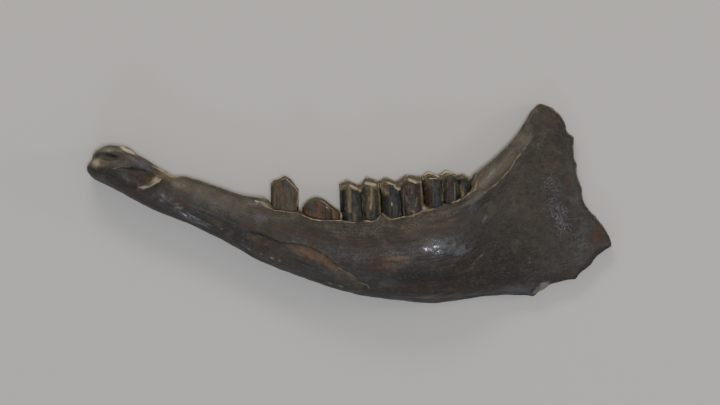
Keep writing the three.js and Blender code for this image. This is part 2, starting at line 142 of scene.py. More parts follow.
# The teeth. The crest is the worn edge on the tongue side and the rim the one on the cheek side. Valleys
# part the lobes. Necks are where the crown ends in front and behind, slips how far behind the crest the neck
# is there, and the lean how far behind the neck the roots end. Meets are the slips of the lines where
# neighbours touch.
TEETH = {
    "premolar_3": dict(
        crest=[(-58.4, 13.6), (-57.2, 17), (-52.5, 18), (-48.4, 20.8), (-45.6, 20), (-41.7, 16.4),
               (-37.3, 9.8)],
        rim=[(-58.4, 12.1), (-57, 15), (-52.5, 16.4), (-48.4, 18.8), (-45.6, 18), (-41.7, 14.2),
             (-37.3, 7.8)],
        valleys=[], width=11, height=20.2, necks=(-6, -8), slips=(0.7, -1.3), lean=0, depth=18),
    "premolar_4": dict(
        crest=[(-35.2, -4), (-34.3, -1.1), (-29.8, 3), (-24.6, 4.9), (-19.4, 3.7), (-14.9, 0.4),
               (-11.5, -2.6), (-7.2, -5.2)],
        rim=[(-35.2, -5.2), (-34.3, -2.8), (-29.8, 1), (-24.6, 2.7), (-19.4, 1.7), (-14, -2.6),
             (-11.5, -4.2), (-7.2, -6.6)],
        valleys=[-13.8], width=13, height=20, necks=(-9, -13), slips=(1.5, 0), lean=0, depth=18),
    "molar_1": dict(
        crest=[(-7.4, 14.5), (-1.5, 18), (7.4, 13.5), (13.3, 20.2), (22.2, 16.5)],
        rim=[(-7.4, 9.5), (-1.5, 12.4), (1.5, 12), (7.4, 7.8), (10.4, 12.6), (14, 14.6), (22.2, 11)],
        valleys=[7.4], width=16, height=19.5, necks=(-13, -12), slips=(3.7, 2.4), lean=0, depth=25,
        meets=(None, 2.4)),
    "molar_2": dict(
        crest=[(22.6, 16.8), (26.9, 19.8), (35, 16.2), (42.3, 21.6), (53.8, 20)],
        rim=[(22.6, 11.5), (26.9, 14), (31.3, 13.4), (36, 10.4), (40, 15), (44, 17.6), (53.8, 13.5)],
        valleys=[36], width=17, height=18.5, necks=(-11, -7), slips=(5, 2.5), lean=1, depth=25,
        meets=(2.4, 2.5)),
    "molar_3": dict(
        crest=[(54.2, 20.2), (58.8, 24), (66.5, 21), (72.3, 25), (81.5, 20.8), (85.5, 22.4), (91.3, 18.3)],
        rim=[(54.2, 17), (59, 21), (66.5, 17), (70, 18.5), (75, 21.8), (81, 17.2), (85.5, 19.4), (91.3, 15)],
        valleys=[67, 81], width=16.5, height=17.5, necks=(-6, 8), slips=(7, -0.5), lean=2, depth=25,
        meets=(2.5, None)),
}
UNWORN = ("premolar_3", "premolar_4")
UNWORN_SHARE = 0.3  # how much of the chewing face's relief they have
CHEEK_WAIST = 0.7
TONGUE_WAIST = 0.82
END_WIDTH = 0.5
END_SQUARENESS = 6
LOBE_SQUARENESS = 2.4
TONGUE_SLIP = 0.3
TOP_SAG = 1
PEAK_STEPS = (-1.2, -0.6, 0, 0.6, 1.2)  # the worn edges are the mean over these, in millimetres
COLLAR = 0.25
ROOT_BEND = 0.35
RIM_WIDTH = 0.92
BEND_WIDTH = 0.9
TIP_WIDTH = 0.7
FORK = 0.3
FORK_REACH = 2.5
FOOT_ARCH = 1.5
END_ROOT_LENGTH = 0.8
ROOT_TAPER = 0.2
SOCKET_GAP = 0.35
SOCKET_SPREAD = 2
SOCKET_DEPTH = 3
SPREAD_SHARPNESS = 5
SOCKET_TOP = 4  # how far above the tooth its cutter ends
SOCKET_STEP = 0.9
CONTACT_SWELL = 0.18  # how far a molar swells towards the one beside it
CONTACT_SHARPNESS = 8
CONTACT_FROM = 0.1  # share of the crown's height at which the swell is whole
RUN_DENSITY = 1.25  # more points along the walls than the grain asks for, as they bunch up in the valleys
INNER_INSET = 0.6  # the middle of the chewing face ends this share of half the width before the ends


def seen(places):
    """Places in the photograph, in pixels, as millimetres on the plane of the outline."""
    places = np.array(places, float)
    return (places - PIXEL_ORIGIN) * (PIXEL, -PIXEL)


def blend(low, high, share):
    return low + (high - low) * share


def ramp(value, low, high):
    """0 below low and 1 above high, with a smooth rise between them. It falls where low is the larger."""
    share = np.clip((value - low) / (high - low), 0, 1)
    return share * share * (3 - 2 * share)


def near(away, reach):
    """1 on a line or in a place, fading with distance from it."""
    return np.exp(-((away / reach) ** 2))


def keyed(keys, at):
    """The value at each place of a table of (place, value) keys, easing in and out of each key."""
    places, values = np.array(keys, float).T
    after = np.clip(np.searchsorted(places, at), 1, len(places) - 1)
    share = np.clip((at - places[after - 1]) / (places[after] - places[after - 1]), 0, 1)
    share = blend(share, ramp(share, 0, 1), EASING)
    return blend(values[after - 1], values[after], share)


def spline(points, at):
    """A smooth curve through points, at places that count from one point to the next."""
    points = np.array(points, float)
    ends = np.vstack([2 * points[0] - points[1], points, 2 * points[-1] - points[-2]])
    first = np.clip(np.floor(at).astype(int), 0, len(points) - 2)
    part = (at - first)[:, None]
    a, b, c, d = (ends[first + k] for k in range(4))
    ab, bc, cd = (np.linalg.norm(q - p, axis=1)[:, None] ** 0.5 for p, q in ((a, b), (b, c), (c, d)))
    start = ((b - a) / ab - (c - a) / (ab + bc) + (c - b) / bc) * bc
    end = ((c - b) / bc - (d - b) / (bc + cd) + (d - c) / cd) * bc
    cubic = 2 * b - 2 * c + start + end
    square = -3 * b + 3 * c - 2 * start - end
    return ((cubic * part + square) * part + start) * part + b


def to_line(points, path):
    """Distance of points from a line, on which side they are, where +1 is its left, and how far along it."""
    path = np.array(path, float)[:, :2]
    runs = np.diff(path, axis=0)
    lengths = np.linalg.norm(runs, axis=1)
    starts = np.concatenate([[0], np.cumsum(lengths)])
    best = np.full(len(points), np.inf)
    side = np.zeros(len(points))
    along = np.zeros(len(points))
    for i, run in enumerate(runs):
        off = points[:, :2] - path[i]
        part = np.clip(off @ run / (run @ run), 0, 1)
        off = off - part[:, None] * run
        distance = np.hypot(off[:, 0], off[:, 1])
        closer = distance < best
        best[closer] = distance[closer]
        side[closer] = np.sign(run[0] * off[:, 1] - run[1] * off[:, 0])[closer]
        along[closer] = (starts[i] + part * lengths[i])[closer]
    return best, side, along / starts[-1]


def away_from(points, path):
    return to_line(points, path)[0]


NOISE_GAIN = 1.6
SMALLEST_PIT = 0.5  # its share of the radius of the largest one
# Factors that turn a cell's three numbers and a seed into one, and shifts and factors that stir it.
CELL_FACTORS = (73856093, 19349663, 83492791)
SEED_FACTOR = 40503
STIRS = ((13, 1274126177), (16, 668265263))
LAST_SHIFT = 15
HASH_BITS = 0xFFFFF


def hashed(cells, seed):
    """A fixed random number from 0 to 1 for each whole-numbered cell."""
    mixed = np.bitwise_xor.reduce(cells * np.array(CELL_FACTORS), axis=-1) ^ seed * SEED_FACTOR
    for shift, factor in STIRS:
        mixed = (mixed ^ (mixed >> shift)) * factor
    return ((mixed ^ (mixed >> LAST_SHIFT)) & HASH_BITS) / HASH_BITS


def noise(points, size, seed):
    """Smooth noise from about -1 to 1. Size is that of its lumps in millimetres, for all axes or each."""
    at = points / size
    cell = np.floor(at).astype(np.int64)
    part = at - cell
    eased = part**3 * (part * (part * 6 - 15) + 10)
    total = np.zeros(len(points))
    for corner in itertools.product((0, 1), repeat=3):
        corner = np.array(corner)
        weight = np.prod(np.where(corner, eased, 1 - eased), axis=1)
        slope = np.stack([hashed(cell + corner, seed + k) for k in range(3)], axis=1) * 2 - 1
        total += weight * np.sum(slope * (part - corner), axis=1)
    return total * NOISE_GAIN


def lumps(points, listed):
    """Noises on top of each other: the size of each one's lumps, their height, and its own seed."""
    return sum(noise(points, size, seed) * height for size, height, seed in listed)


def pits(points, spacing, radius, share, seed):
    """Round pits in a share of the cells of that spacing: 1 in the middle of a pit and 0 outside it."""
    at = points / spacing
    cell = np.floor(at).astype(np.int64)
    deepest = np.zeros(len(points))
    for step in itertools.product((-1, 0, 1), repeat=3):
        other = cell + np.array(step)
        seat = other + np.stack([hashed(other, seed + k) for k in range(3)], axis=1)
        own = hashed(other, seed + 3)
        size = radius * blend(SMALLEST_PIT, 1, hashed(other, seed + 4))
        away = np.linalg.norm((at - seat) * spacing, axis=1)
        deepest = np.maximum(deepest, np.where(own < share, 1 - away / size, 0))
    return np.clip(deepest, 0, 1)


def mark(mesh, name, values):
    """Keeps a number, or three numbers, for each point of the mesh, for its material to read."""
    kind = "FLOAT" if values.ndim == 1 else "FLOAT_VECTOR"
    attribute = mesh.attributes.new(name, kind, "POINT")
    attribute.data.foreach_set("value" if values.ndim == 1 else "vector", values.astype(np.float32).ravel())


def placed(name, data):
    """A new object in the scene, with this data."""
    made = bpy.data.objects.new(name, data)
    bpy.context.scene.collection.objects.link(made)
    return made


SAME_PLACE = 1e-7  # points closer than this, in metres, become one


def closed_mesh(name, rings, cap=None, marks=None):
    """A piece with four-sided faces through closed rings of points, with extra faces for its ends and with
    marks for its points."""
    rows, around = rings.shape[:2]
    index = np.arange(rows * around).reshape(rows, around)
    after = np.roll(index, -1, axis=1)
    faces = np.stack([index[:-1], after[:-1], after[1:], index[1:]], axis=-1).reshape(-1, 4).tolist()
    mesh = bpy.data.meshes.new(name)
    mesh.from_pydata((rings.reshape(-1, 3) + SHIFT) * MM, [], faces + (cap or []))
    for mark_name, values in (marks or {}).items():
        mark(mesh, mark_name, values.ravel())
    tidy = bmesh.new()
    tidy.from_mesh(mesh)
    bmesh.ops.remove_doubles(tidy, verts=tidy.verts, dist=SAME_PLACE)
    bmesh.ops.dissolve_degenerate(tidy, dist=SAME_PLACE, edges=tidy.edges)
    bmesh.ops.recalc_face_normals(tidy, faces=tidy.faces)
    tidy.to_mesh(mesh)
    tidy.free()
    return placed(name, mesh)


def change(piece, kind, **settings):
    """Adds a modifier of that kind to the piece, with these settings, and applies it."""
    modifier = piece.modifiers.new(kind, kind)
    for setting, value in settings.items():
        setattr(modifier, setting, value)
    bpy.context.view_layer.objects.active = piece
    bpy.ops.object.modifier_apply(modifier=modifier.name)


def combine(piece, other, operation):
    """Cuts another piece out of this one, or joins it to this one, and removes it."""
    change(piece, "BOOLEAN", object=other, operation=operation, solver="MANIFOLD")
    bpy.data.objects.remove(other)


def points_of(piece):
    """The mesh's points in the outline's millimetres, and the directions that its surface faces there."""
    count = len(piece.data.vertices)
    places = np.empty(count * 3, np.float32)
    piece.data.vertices.foreach_get("co", places)
    facing = np.empty(count * 3, np.float32)
    piece.data.vertex_normals.foreach_get("vector", facing)
    return places.reshape(-1, 3).astype(float) / MM - SHIFT, facing.reshape(-1, 3).astype(float)


def move_points(piece, places):
    """Puts the mesh's points at these places, in the outline's millimetres."""
    piece.data.vertices.foreach_set("co", ((places + SHIFT) * MM).astype(np.float32).ravel())
    piece.data.update()


def form_height(points, reach, path):
    """Height of a broad form: that of the nearest place on its path, fading with distance."""
    distance, _, along = to_line(points, path)
    steps = np.linalg.norm(np.diff(np.array(path)[:, :2], axis=0), axis=1)
    places = np.concatenate([[0], np.cumsum(steps)]) / np.sum(steps)
    return np.interp(along, places, np.array(path)[:, 2]) * near(distance, reach)


# The bone's blank: ribs from the upper border down the cheek side and back up the tongue side.
RIBS = 520
RIB_POINTS = 100
BACK_POINTS = 201


def nudged(points):
    """Points after the corners and notches of the outline are pushed out and in."""
    moved = points.copy()
    for across, down, right, up, reach in OUTLINE_NUDGES:
        away = np.linalg.norm(points[:, :2] - seen([(across, down)])[0], axis=1)
        moved[:, :2] += near(away, reach)[:, None] * (right, up)
    return moved


def bone_blank():
    stations = np.linspace(0, LAST, RIBS)
    even = np.linspace(1, 0, RIB_POINTS)
    up = blend((1 + np.cos(np.pi * (1 - even))) / 2, even, RIB_EVENNESS)
    low = spline(LOWER_BORDER, stations)
    high = spline(UPPER_BORDER, stations)
    back = spline(BACK_EDGE, np.linspace(0, len(BACK_EDGE) - 1, BACK_POINTS))
    run = np.concatenate([[0], np.cumsum(np.linalg.norm(np.diff(back, axis=0), axis=1))])
    on_back = np.stack([np.interp(up, run / run[-1], back[:, k]) for k in (0, 1)], axis=1)
    on_back -= blend(back[0], back[-1], up[:, None])
    bend = ramp(stations, BACK_BEND_FROM, LAST) ** 2
    plane = blend(low[:, None], high[:, None], up[None, :, None]) + on_back * bend[:, None, None]

    side = (2 * up - 1)[None, :]
    table = {
        name: keyed(keys, stations)[:, None]
        for name, keys in dict(
            low=LOWER_HEIGHT, high=UPPER_HEIGHT, half=HALF_THICKNESS, bulge=CHEEK_BULGE,
            hollow=TONGUE_HOLLOW, blunt_low=LOWER_BLUNTNESS, blunt_high=UPPER_BLUNTNESS).items()
    }
    bluntness = np.where(side < 0, table["blunt_low"], table["blunt_high"])
    fullness = np.maximum(0, 1 - np.abs(side) ** bluntness) ** (1 / bluntness)
    hump = (1 - side**2) ** HUMP_SHARPNESS
    middle = blend(table["low"], table["high"], up[None, :])
    flat = plane.reshape(-1, 2)
    relief = sum(form_height(flat, *form) for form in CHEEK_FORMS.values()).reshape(middle.shape)
    cheek = middle + table["half"] * fullness + table["bulge"] * hump + relief * fullness
    tongue = np.maximum(0, middle - table["half"] * fullness + table["hollow"] * hump)
    cheek[0] = tongue[0] = middle[0]
    outer = np.concatenate([plane, cheek[:, :, None]], axis=2)
    inner = np.concatenate([plane, tongue[:, :, None]], axis=2)
    rings = np.concatenate([outer, inner[:, -2:0:-1]], axis=1)
    around = rings.shape[1]
    first = (RIBS - 1) * around
    cap = []
    for i in range(RIB_POINTS - 1):
        corners = (i, i + 1, around - i - 1, (around - i) % around)
        cap.append([first + corner for corner in dict.fromkeys(corners)])
    return closed_mesh("jaw_bone", rings, cap)


BALL_SEGMENTS = 32
BALL_ROWS = 20


def ball(centre, half, turn):
    """A smooth egg-shaped piece, turned by some degrees."""
    mesh = bpy.data.meshes.new("ball")
    shape = bmesh.new()
    bmesh.ops.create_uvsphere(shape, u_segments=BALL_SEGMENTS, v_segments=BALL_ROWS, radius=1)
    size = Matrix.Diagonal((*[value * MM for value in half], 1))
    place = Matrix.Translation(Vector((np.array(centre) + SHIFT) * MM))
    turned = Matrix.Rotation(np.radians(turn), 4, "Z")
    bmesh.ops.transform(shape, matrix=place @ turned @ size, verts=shape.verts)
    shape.to_mesh(mesh)
    shape.free()
    return placed("ball", mesh)


# Rows of a tooth's mesh: in under its roots, up the roots, up the crown, and in over the chewing face.
FOOT_ROWS = 4
ROOT_ROWS = 16


def rounded(share, squareness):
    return np.maximum(0, 1 - np.abs(2 * share - 1) ** squareness) ** 0.5


def tooth_rings(tooth, step, gap=0.0):
    """Closed rings round a tooth from the middle of its underside up to the middle of its chewing face, and
    each point's distance in from that face's edge. With a gap it is the cutter for the tooth's socket."""
    front, back = tooth["crest"][0][0], tooth["crest"][-1][0]
    bounds = [front, *tooth["valleys"], back]
    half = tooth["width"] / 2
    highest = max(y for _, y in tooth["crest"])
    middle = (front + back + sum(tooth["slips"])) / 2
    run = []
    for start, end in itertools.pairwise(bounds):
        count = int(round((end - start) * RUN_DENSITY / step))
        run.append(blend(start, end, (1 - np.cos(np.pi * np.arange(count) / count)) / 2))
    run = np.concatenate([*run, [back]])
    across = np.linspace(1, -1, int(half * 2 * END_WIDTH / step) + 2)[1:-1]
    x = np.concatenate([run, np.full(len(across), back), run[::-1], np.full(len(across), front)])
    side = np.concatenate([np.ones(len(run)), across, -np.ones(len(run)), across[::-1]])

    def width_at(x, side):
        lobe = np.clip(np.searchsorted(bounds, x, side="right") - 1, 0, len(bounds) - 2)
        starts, ends = np.array(bounds)[lobe], np.array(bounds)[lobe + 1]
        swell = rounded((x - starts) / (ends - starts), LOBE_SQUARENESS)
        ends_width = blend(END_WIDTH, 1, rounded((x - front) / (back - front), END_SQUARENESS))
        waist = np.where(side > 0, CHEEK_WAIST, TONGUE_WAIST)
        return half * np.minimum(ends_width, blend(waist, 1, swell)) + gap, ends_width

    def place(x, side, y, width):
        share = (x - front) / (back - front)
        neck = blend(*tooth["necks"], share)
        depth = np.maximum(0, neck - y) / tooth["depth"]
        rise = np.clip((y - neck) / (highest - neck), 0, 1)
        slip = blend(*tooth["slips"], share) * (1 - rise) * blend(TONGUE_SLIP, 1, (side + 1) / 2)
        spread = SOCKET_SPREAD * gap * (2 * share - 1) ** SPREAD_SHARPNESS
        if not gap:
            spread = spread + contact_at(share, side, rise)
        along = blend(x + slip + spread, middle, ROOT_TAPER * depth) + tooth["lean"] * depth
        return np.stack([along, y, tooth["height"] + side * width_at(x, side)[0] * width], axis=-1)

    def contact_at(share, side, rise):
        """How far the ends of the crown swell to meet the teeth beside it."""
        swell = 0
        for own, line, end in zip(tooth["slips"], tooth.get("meets", (None, None)), (-1, 1)):
            if line is not None:
                slipped = blend(TONGUE_SLIP, 1, (side + 1) / 2) * (1 - rise)
                reach = slipped * (line - own) + end * CONTACT_SWELL
                close = np.clip(end * (2 * share - 1), 0, 1) ** CONTACT_SHARPNESS
                swell = swell + reach * close * ramp(rise, 0, CONTACT_FROM)
        return swell

    def top_at(x, side):
        part = (side + 1) / 2
        crest, rim = (
            sum(np.interp(x + by, *np.array(tooth[edge]).T) for by in PEAK_STEPS) / len(PEAK_STEPS)
            for edge in ("crest", "rim"))
        return blend(crest, rim, part) - 4 * TOP_SAG * part * (1 - part)

    share = (x - front) / (back - front)
    neck = blend(*tooth["necks"], share)
    collar = blend(neck, highest, COLLAR)
    fork = np.zeros(len(x))
    for valley in tooth["valleys"]:
        fork = np.maximum(fork, near(x - valley, FORK_REACH))
    length = tooth["depth"] * (1 - FORK * fork) * blend(END_ROOT_LENGTH, 1, width_at(x, side)[1])
    tip = neck - length - SOCKET_DEPTH * gap
    top = np.full(len(x), float(highest + SOCKET_TOP)) if gap else top_at(x, side)

    rings = []
    inner = np.clip(x, front + half * INNER_INSET, back - half * INNER_INSET)
    for k in range(FOOT_ROWS):
        share_in = 1 - k / FOOT_ROWS
        arch = FOOT_ARCH * (1 - (side * (1 - share_in)) ** 2)
        rings.append(place(blend(x, inner, share_in), side * (1 - share_in), tip + arch, TIP_WIDTH))
    for share_up in np.linspace(0, 1, ROOT_ROWS, endpoint=False):
        width = np.interp(share_up, (0, ROOT_BEND, 1), (TIP_WIDTH, BEND_WIDTH, 1))
        rings.append(place(x, side, blend(tip, neck, share_up), width))
    crown_rows = int((highest - neck.min()) / step)
    for share_up in np.linspace(0, 1, crown_rows):
        y = blend(neck, top, share_up)
        width = 1 if gap else 1 - (1 - RIM_WIDTH) * np.clip((y - collar) / (top - collar), 0, 1)
        rings.append(place(x, side, y, width))
    inset = [np.zeros(len(x))] * len(rings)
    cap_rows = int(half / step)
    for k in range(1, cap_rows + 1):
        share_in = k / cap_rows
        x_in, side_in = blend(x, inner, share_in), side * (1 - share_in)
        y = top if gap else top_at(x_in, side_in)
        rings.append(place(x_in, side_in, y, 1 if gap else RIM_WIDTH))
        inset.append(np.hypot(x_in - x, (side - side_in) * width_at(x, side)[0]))
    return np.array(rings), np.array(inset)


# The chewing face: enamel stands round the edge and round each lobe's crescent pit, above sunken dentine.
ENAMEL_THICKNESS = 1.2
ENAMEL_FALL = (0.7, 1.5)  # it falls off between these shares of its thickness
RIDGE_REACH = 0.6
DENTINE_DROP = 0.7
FACE_WOBBLE = [(2.5, 0.3, 31)]
CRESCENT_LENGTH = 0.72  # of a pit, as a share of its lobe
CRESCENT_WIDTH = 1.3
CRESCENT_BOW = 2.2  # how far its middle bows towards the cheek
CRESCENT_BACK = 1.2  # how far its ends lie behind the middle of the tooth
CRESCENT_DEPTH = 2.2
CRESCENT_WALL = (0.25, -0.45)  # the pit's wall falls between these distances outside its edge
RIDGE_OUT = 0.6  # how far outside a pit its ridge is highest
RIDGE_RISE = 1.1  # its height, as a share of the dentine's drop
RIDGE_END = 1.15  # where it ends, as a share of half the pit's length
RIDGE_COVER = 0.9  # how much of the dentine it hides
LEAST_PIT = 0.3  # a pit is closed where it would be narrower than this


def chewing_relief(tooth, places, inset):
    """How far each point of the chewing face is moved up, and its shares of dentine, open pit and ridge."""
    x, z = places[..., 0], places[..., 2]
    bounds = [tooth["crest"][0][0], *tooth["valleys"], tooth["crest"][-1][0]]
    wobble = lumps(places.reshape(-1, 3), FACE_WOBBLE).reshape(x.shape)
    sunk = ramp(inset + wobble, *(ENAMEL_THICKNESS * share for share in ENAMEL_FALL))
    height = -DENTINE_DROP * sunk
    pit_share = np.zeros(x.shape)
    ridge = near(inset - ENAMEL_THICKNESS / 2, RIDGE_REACH)
    for start, end in itertools.pairwise(bounds):
        reach = (end - start) / 2 * CRESCENT_LENGTH
        out = (x - (start + end) / 2) / reach
        centre = tooth["height"] - CRESCENT_BACK + CRESCENT_BOW * (1 - out**2)
        width = CRESCENT_WIDTH * np.sqrt(np.maximum(0, 1 - out**2))
        away = np.hypot(np.abs(z - centre) + wobble, np.maximum(0, np.abs(out) - 1) * reach)
        pit = ramp(away - width, *CRESCENT_WALL) * (width > LEAST_PIT)
        edge = near(away - width - RIDGE_OUT, RIDGE_REACH) * (np.abs(out) < RIDGE_END)
        height += sunk * edge * DENTINE_DROP * RIDGE_RISE - pit * CRESCENT_DEPTH
        sunk = sunk * (1 - RIDGE_COVER * edge)
        ridge = np.maximum(ridge, edge)
        pit_share = np.maximum(pit_share, pit)
    return height, sunk * (1 - pit_share), pit_share, ridge * (1 - pit_share)


# Relief of the crown's walls and of all of the crown, and the heights between which it ends at the root.
CROWN_GROOVES = [((0.9, 9, 0.9), 0.13, 41), ((2.2, 16, 2.2), 0.24, 42)]
CROWN_LUMPS = [(3.5, 0.22, 43), (1.1, 0.08, 44)]
CROWN_FROM = (-16, -10)


def tooth_piece(name, tooth):
    """A tooth with its worn face, and the marks that its material reads."""
    rings, inset = tooth_rings(tooth, TOOTH_GRAIN)
    on_top = inset > 0
    height, dentine, pit, ridge = chewing_relief(tooth, rings, inset)
    worn = UNWORN_SHARE if name in UNWORN else 1
    rings[..., 1] += np.where(on_top, height * worn, 0)
    marks = {"worn": dentine * worn, "pit": pit * (name not in UNWORN), "ridge": ridge * worn * on_top}
    piece = closed_mesh(f"tooth_{name}", rings, marks=marks)
    points, facing = points_of(piece)
    relief = lumps(points, CROWN_GROOVES) * (1 - np.abs(facing[:, 1])) + lumps(points, CROWN_LUMPS)
    move_points(piece, points + facing * (relief * ramp(points[:, 1], *CROWN_FROM))[:, None])
    return piece


# The camera looks straight down. It stands far back, as the long lens of the photograph does.
CAMERA_DISTANCE = 2.5
VIEW_DEPTH = 20
OUTLINE_HEIGHT = 0.018
SENSOR = 36


def camera():
    data = bpy.data.cameras.new("camera")
    data.sensor_width = SENSOR
    data.lens = SENSOR * CAMERA_DISTANCE / (PHOTO_WIDTH * PIXEL * MM)
    data.clip_end = VIEW_DEPTH
    eye = placed("camera", data)
    across, up = (seen([VIEW_CENTRE])[0] + SHIFT[:2]) * MM
    eye.location = (across, up, CAMERA_DISTANCE + OUTLINE_HEIGHT)
    bpy.context.scene.camera = eye


def linear(colour):
    """An sRGB colour written as six hex digits, as the linear values that Blender takes."""
    parts = [int(colour[i:i + 2], 16) / 255 for i in (1, 3, 5)]
    return [part / 12.92 if part <= 0.04045 else ((part + 0.055) / 1.055) ** 2.4 for part in parts]


def add_node(tree, kind, inputs=None, **settings):
    """Adds a node, sets its settings, and gives each named input a value, a colour or a link."""
    made = tree.nodes.new(kind)
    for setting, value in settings.items():
        setattr(made, setting, value)
    for name, value in (inputs or {}).items():
        socket = made.inputs[name]
        if isinstance(value, bpy.types.NodeSocket):
            tree.links.new(value, socket)
        elif isinstance(value, str):
            socket.default_value = (*linear(value), 1)
        else:
            socket.default_value = value
    return made


# Soft rectangular lamps: where each one is and what it faces, its width and depth, its power and its tint.
LAMPS = {
    "key": ((-0.5, 2.2, 1.3), (0.02, 0, 0.02), (1.2, 0.5), 21, "#fff0dc"),
    "overhead": ((0.14, -0.3, 3.2), (0.05, 0, 0.02), (0.6, 0.35), 30, "#f2f5ff"),
    "low_front": ((-0.6, -2.0, 0.9), (0, 0, 0.02), (0.6, 0.2), 6, "#dfe8ff"),
    "right": ((2.2, 0.3, 0.8), (0.1, 0, 0.02), (0.5, 0.3), 8, "#fff6ea"),
}
SKY_COLOUR = "#e6e4e0"
SKY_STRENGTH = 0.37
FLOOR_COLOUR = "#d9d7d2"
FLOOR_ROUGHNESS = 0.9
FLOOR_REACH = 3


def studio():
    """A plain pale floor, a pale sky and soft light from behind, above, the front and the right."""
    corners = np.array([(-1, -1, 0), (1, -1, 0), (1, 1, 0), (-1, 1, 0)]) * FLOOR_REACH
    mesh = bpy.data.meshes.new("floor")
    mesh.from_pydata(corners.tolist(), [], [(0, 1, 2, 3)])
    floor = placed("floor", mesh)
    paper = bpy.data.materials.new("pale_paper")
    paper.use_nodes = True
    shader = paper.node_tree.nodes["Principled BSDF"]
    shader.inputs["Base Color"].default_value = (*linear(FLOOR_COLOUR), 1)
    shader.inputs["Roughness"].default_value = FLOOR_ROUGHNESS
    mesh.materials.append(paper)
    world = bpy.data.worlds.new("pale_sky")
    world.use_nodes = True
    sky = world.node_tree.nodes["Background"]
    sky.inputs["Color"].default_value = (*linear(SKY_COLOUR), 1)
    sky.inputs["Strength"].default_value = SKY_STRENGTH
    bpy.context.scene.world = world
    for name, (place, target, size, power, tint) in LAMPS.items():
        data = bpy.data.lights.new(name, "AREA")
        data.shape = "RECTANGLE"
        data.size, data.size_y = size
        data.energy = power
        data.color = linear(tint)
        light = placed(name, data)
        light.location = place
        light.rotation_euler = (Vector(target) - Vector(place)).to_track_quat("-Z", "Y").to_euler()


# Lines on the bone that the photograph shows, in its pixels.
SOCKET_LIP = seen([
    (256, 201), (262, 203), (268, 207), (275, 210.5), (283, 211), (297, 213), (305, 216), (312, 219),
    (320, 220.5), (340, 220.4), (347.3, 221.7), (354.5, 222.4), (361.6, 219.7), (370.8, 221.7),
    (377, 220.2), (381, 214), (382.5, 213), (385.6, 217), (391, 219.4), (401.4, 217), (411.6, 215.6),
    (419.8, 212.5), (422.8, 210.5), (431, 209.5), (438, 207.4), (446.3, 202.8), (452.4, 202.3),
    (457.5, 200.8), (462.6, 197.7), (467.7, 194.7), (474.9, 189.6), (475.9, 183.5)])
SCAR_EDGE = seen([
    (242, 231.7), (251, 231), (260, 233.6), (270, 238.7), (279, 241.9), (289, 243), (302, 244.4),
    (312, 247.6), (321, 252), (330, 258.4), (340, 266.7), (350.5, 274.4), (359.4, 280.8), (368.4, 286)])
CHIN_RIM_HOLLOW = seen([(94.5, 157.5), (98, 155.5), (106, 155.5), (114, 156.5), (121, 159)])
CHIN_RIM = seen([(95, 151), (103, 149.5), (113, 149.5), (124, 151), (132, 154), (140, 158)])
CHIN_LIGHT_LINE = seen([(111, 169.5), (118, 168), (125, 166.8), (131, 167)])
CHIN_KNOB = seen([(95, 161.5), (98, 165)])
CHIN_CRACK = seen([(118, 168.5), (124, 168), (131, 168.5), (138, 170.5), (145, 171.5)])
CHIN_FUNNEL = seen([(128, 173), (138, 176), (147, 178), (154, 177), (160, 174.5)])
CHIN_LIP = seen([(139, 187), (144, 188), (150, 186.8), (155, 184), (160, 180.5), (164, 177), (169, 176)])
CHIN_TOP_EDGE = seen([(154, 166.5), (165, 172), (173, 176.2), (178, 177)])
OBLIQUE_LINE = seen([
    (462, 203.5), (475, 199), (483, 194), (490, 188.5), (497, 183), (504, 175.5), (510, 169), (515, 160.5),
    (520, 154), (526, 147), (533, 139.5), (538, 134)])
SCAR_LIGHT_LINE = seen([
    (339, 267), (342.9, 270), (348.6, 272.6), (355, 277.3), (360.5, 282.6), (367, 284.6), (369.5, 288)])
SCRATCH = seen([(472, 264), (478, 258), (484, 252)])
LOWER_BREAK = seen([(533, 295.5), (541, 288), (549, 283), (552, 284)])
# The line on the tongue side that stands up a little below the teeth, in the outline's millimetres.
TONGUE_LIP = np.array(UPPER_BORDER[12:24]) - (0, 1.6)
# Where the bone is cream along lines, where painted light lies along its lit edges and crests and a pale
# scratch runs, and where painted shadow lies along the scar's edge and the chin's crack, first on the cheek
# side and then on the tongue side.
# Each line has half its width in millimetres.
BONE_LINES = {
    "cream_line": (
        [(SOCKET_LIP[:3], 0.6), (SOCKET_LIP[2:9], 0.3), (SOCKET_LIP[8:10], 0.2), (SOCKET_LIP[9:15], 0.4),
         (SOCKET_LIP[14:20], 0.55), (SOCKET_LIP[19:24], 0.7), (SOCKET_LIP[23:28], 0.35),
         (SOCKET_LIP[27:], 0.5), (CHIN_LIP[:5], 0.8), (CHIN_TOP_EDGE, 0.9)],
        [(TONGUE_LIP, 0.6)]),
    # Painted light along the lit upper borders, the oblique ridge's crest and the lit edges at the scar's
    # end and the chin's crack. The scratch is a real pale scratch.
    "painted_light_and_scratch_line": (
        [(UPPER_BORDER[:4], 0.6), (UPPER_BORDER[8:14], 0.6), (UPPER_BORDER[23:34], 0.7),
         (SCAR_LIGHT_LINE, 0.4), (OBLIQUE_LINE[2:9], 0.45), (SCRATCH, 0.35), (CHIN_LIGHT_LINE, 0.3)],
        []),
    # Painted shadow along the sharp upper edge of the old scar, and along the chin's crack below its lit
    # edge.
    "shadow_and_crack_line": ([(SCAR_EDGE[1:9], 0.6), (CHIN_CRACK, 0.6)], []),
}
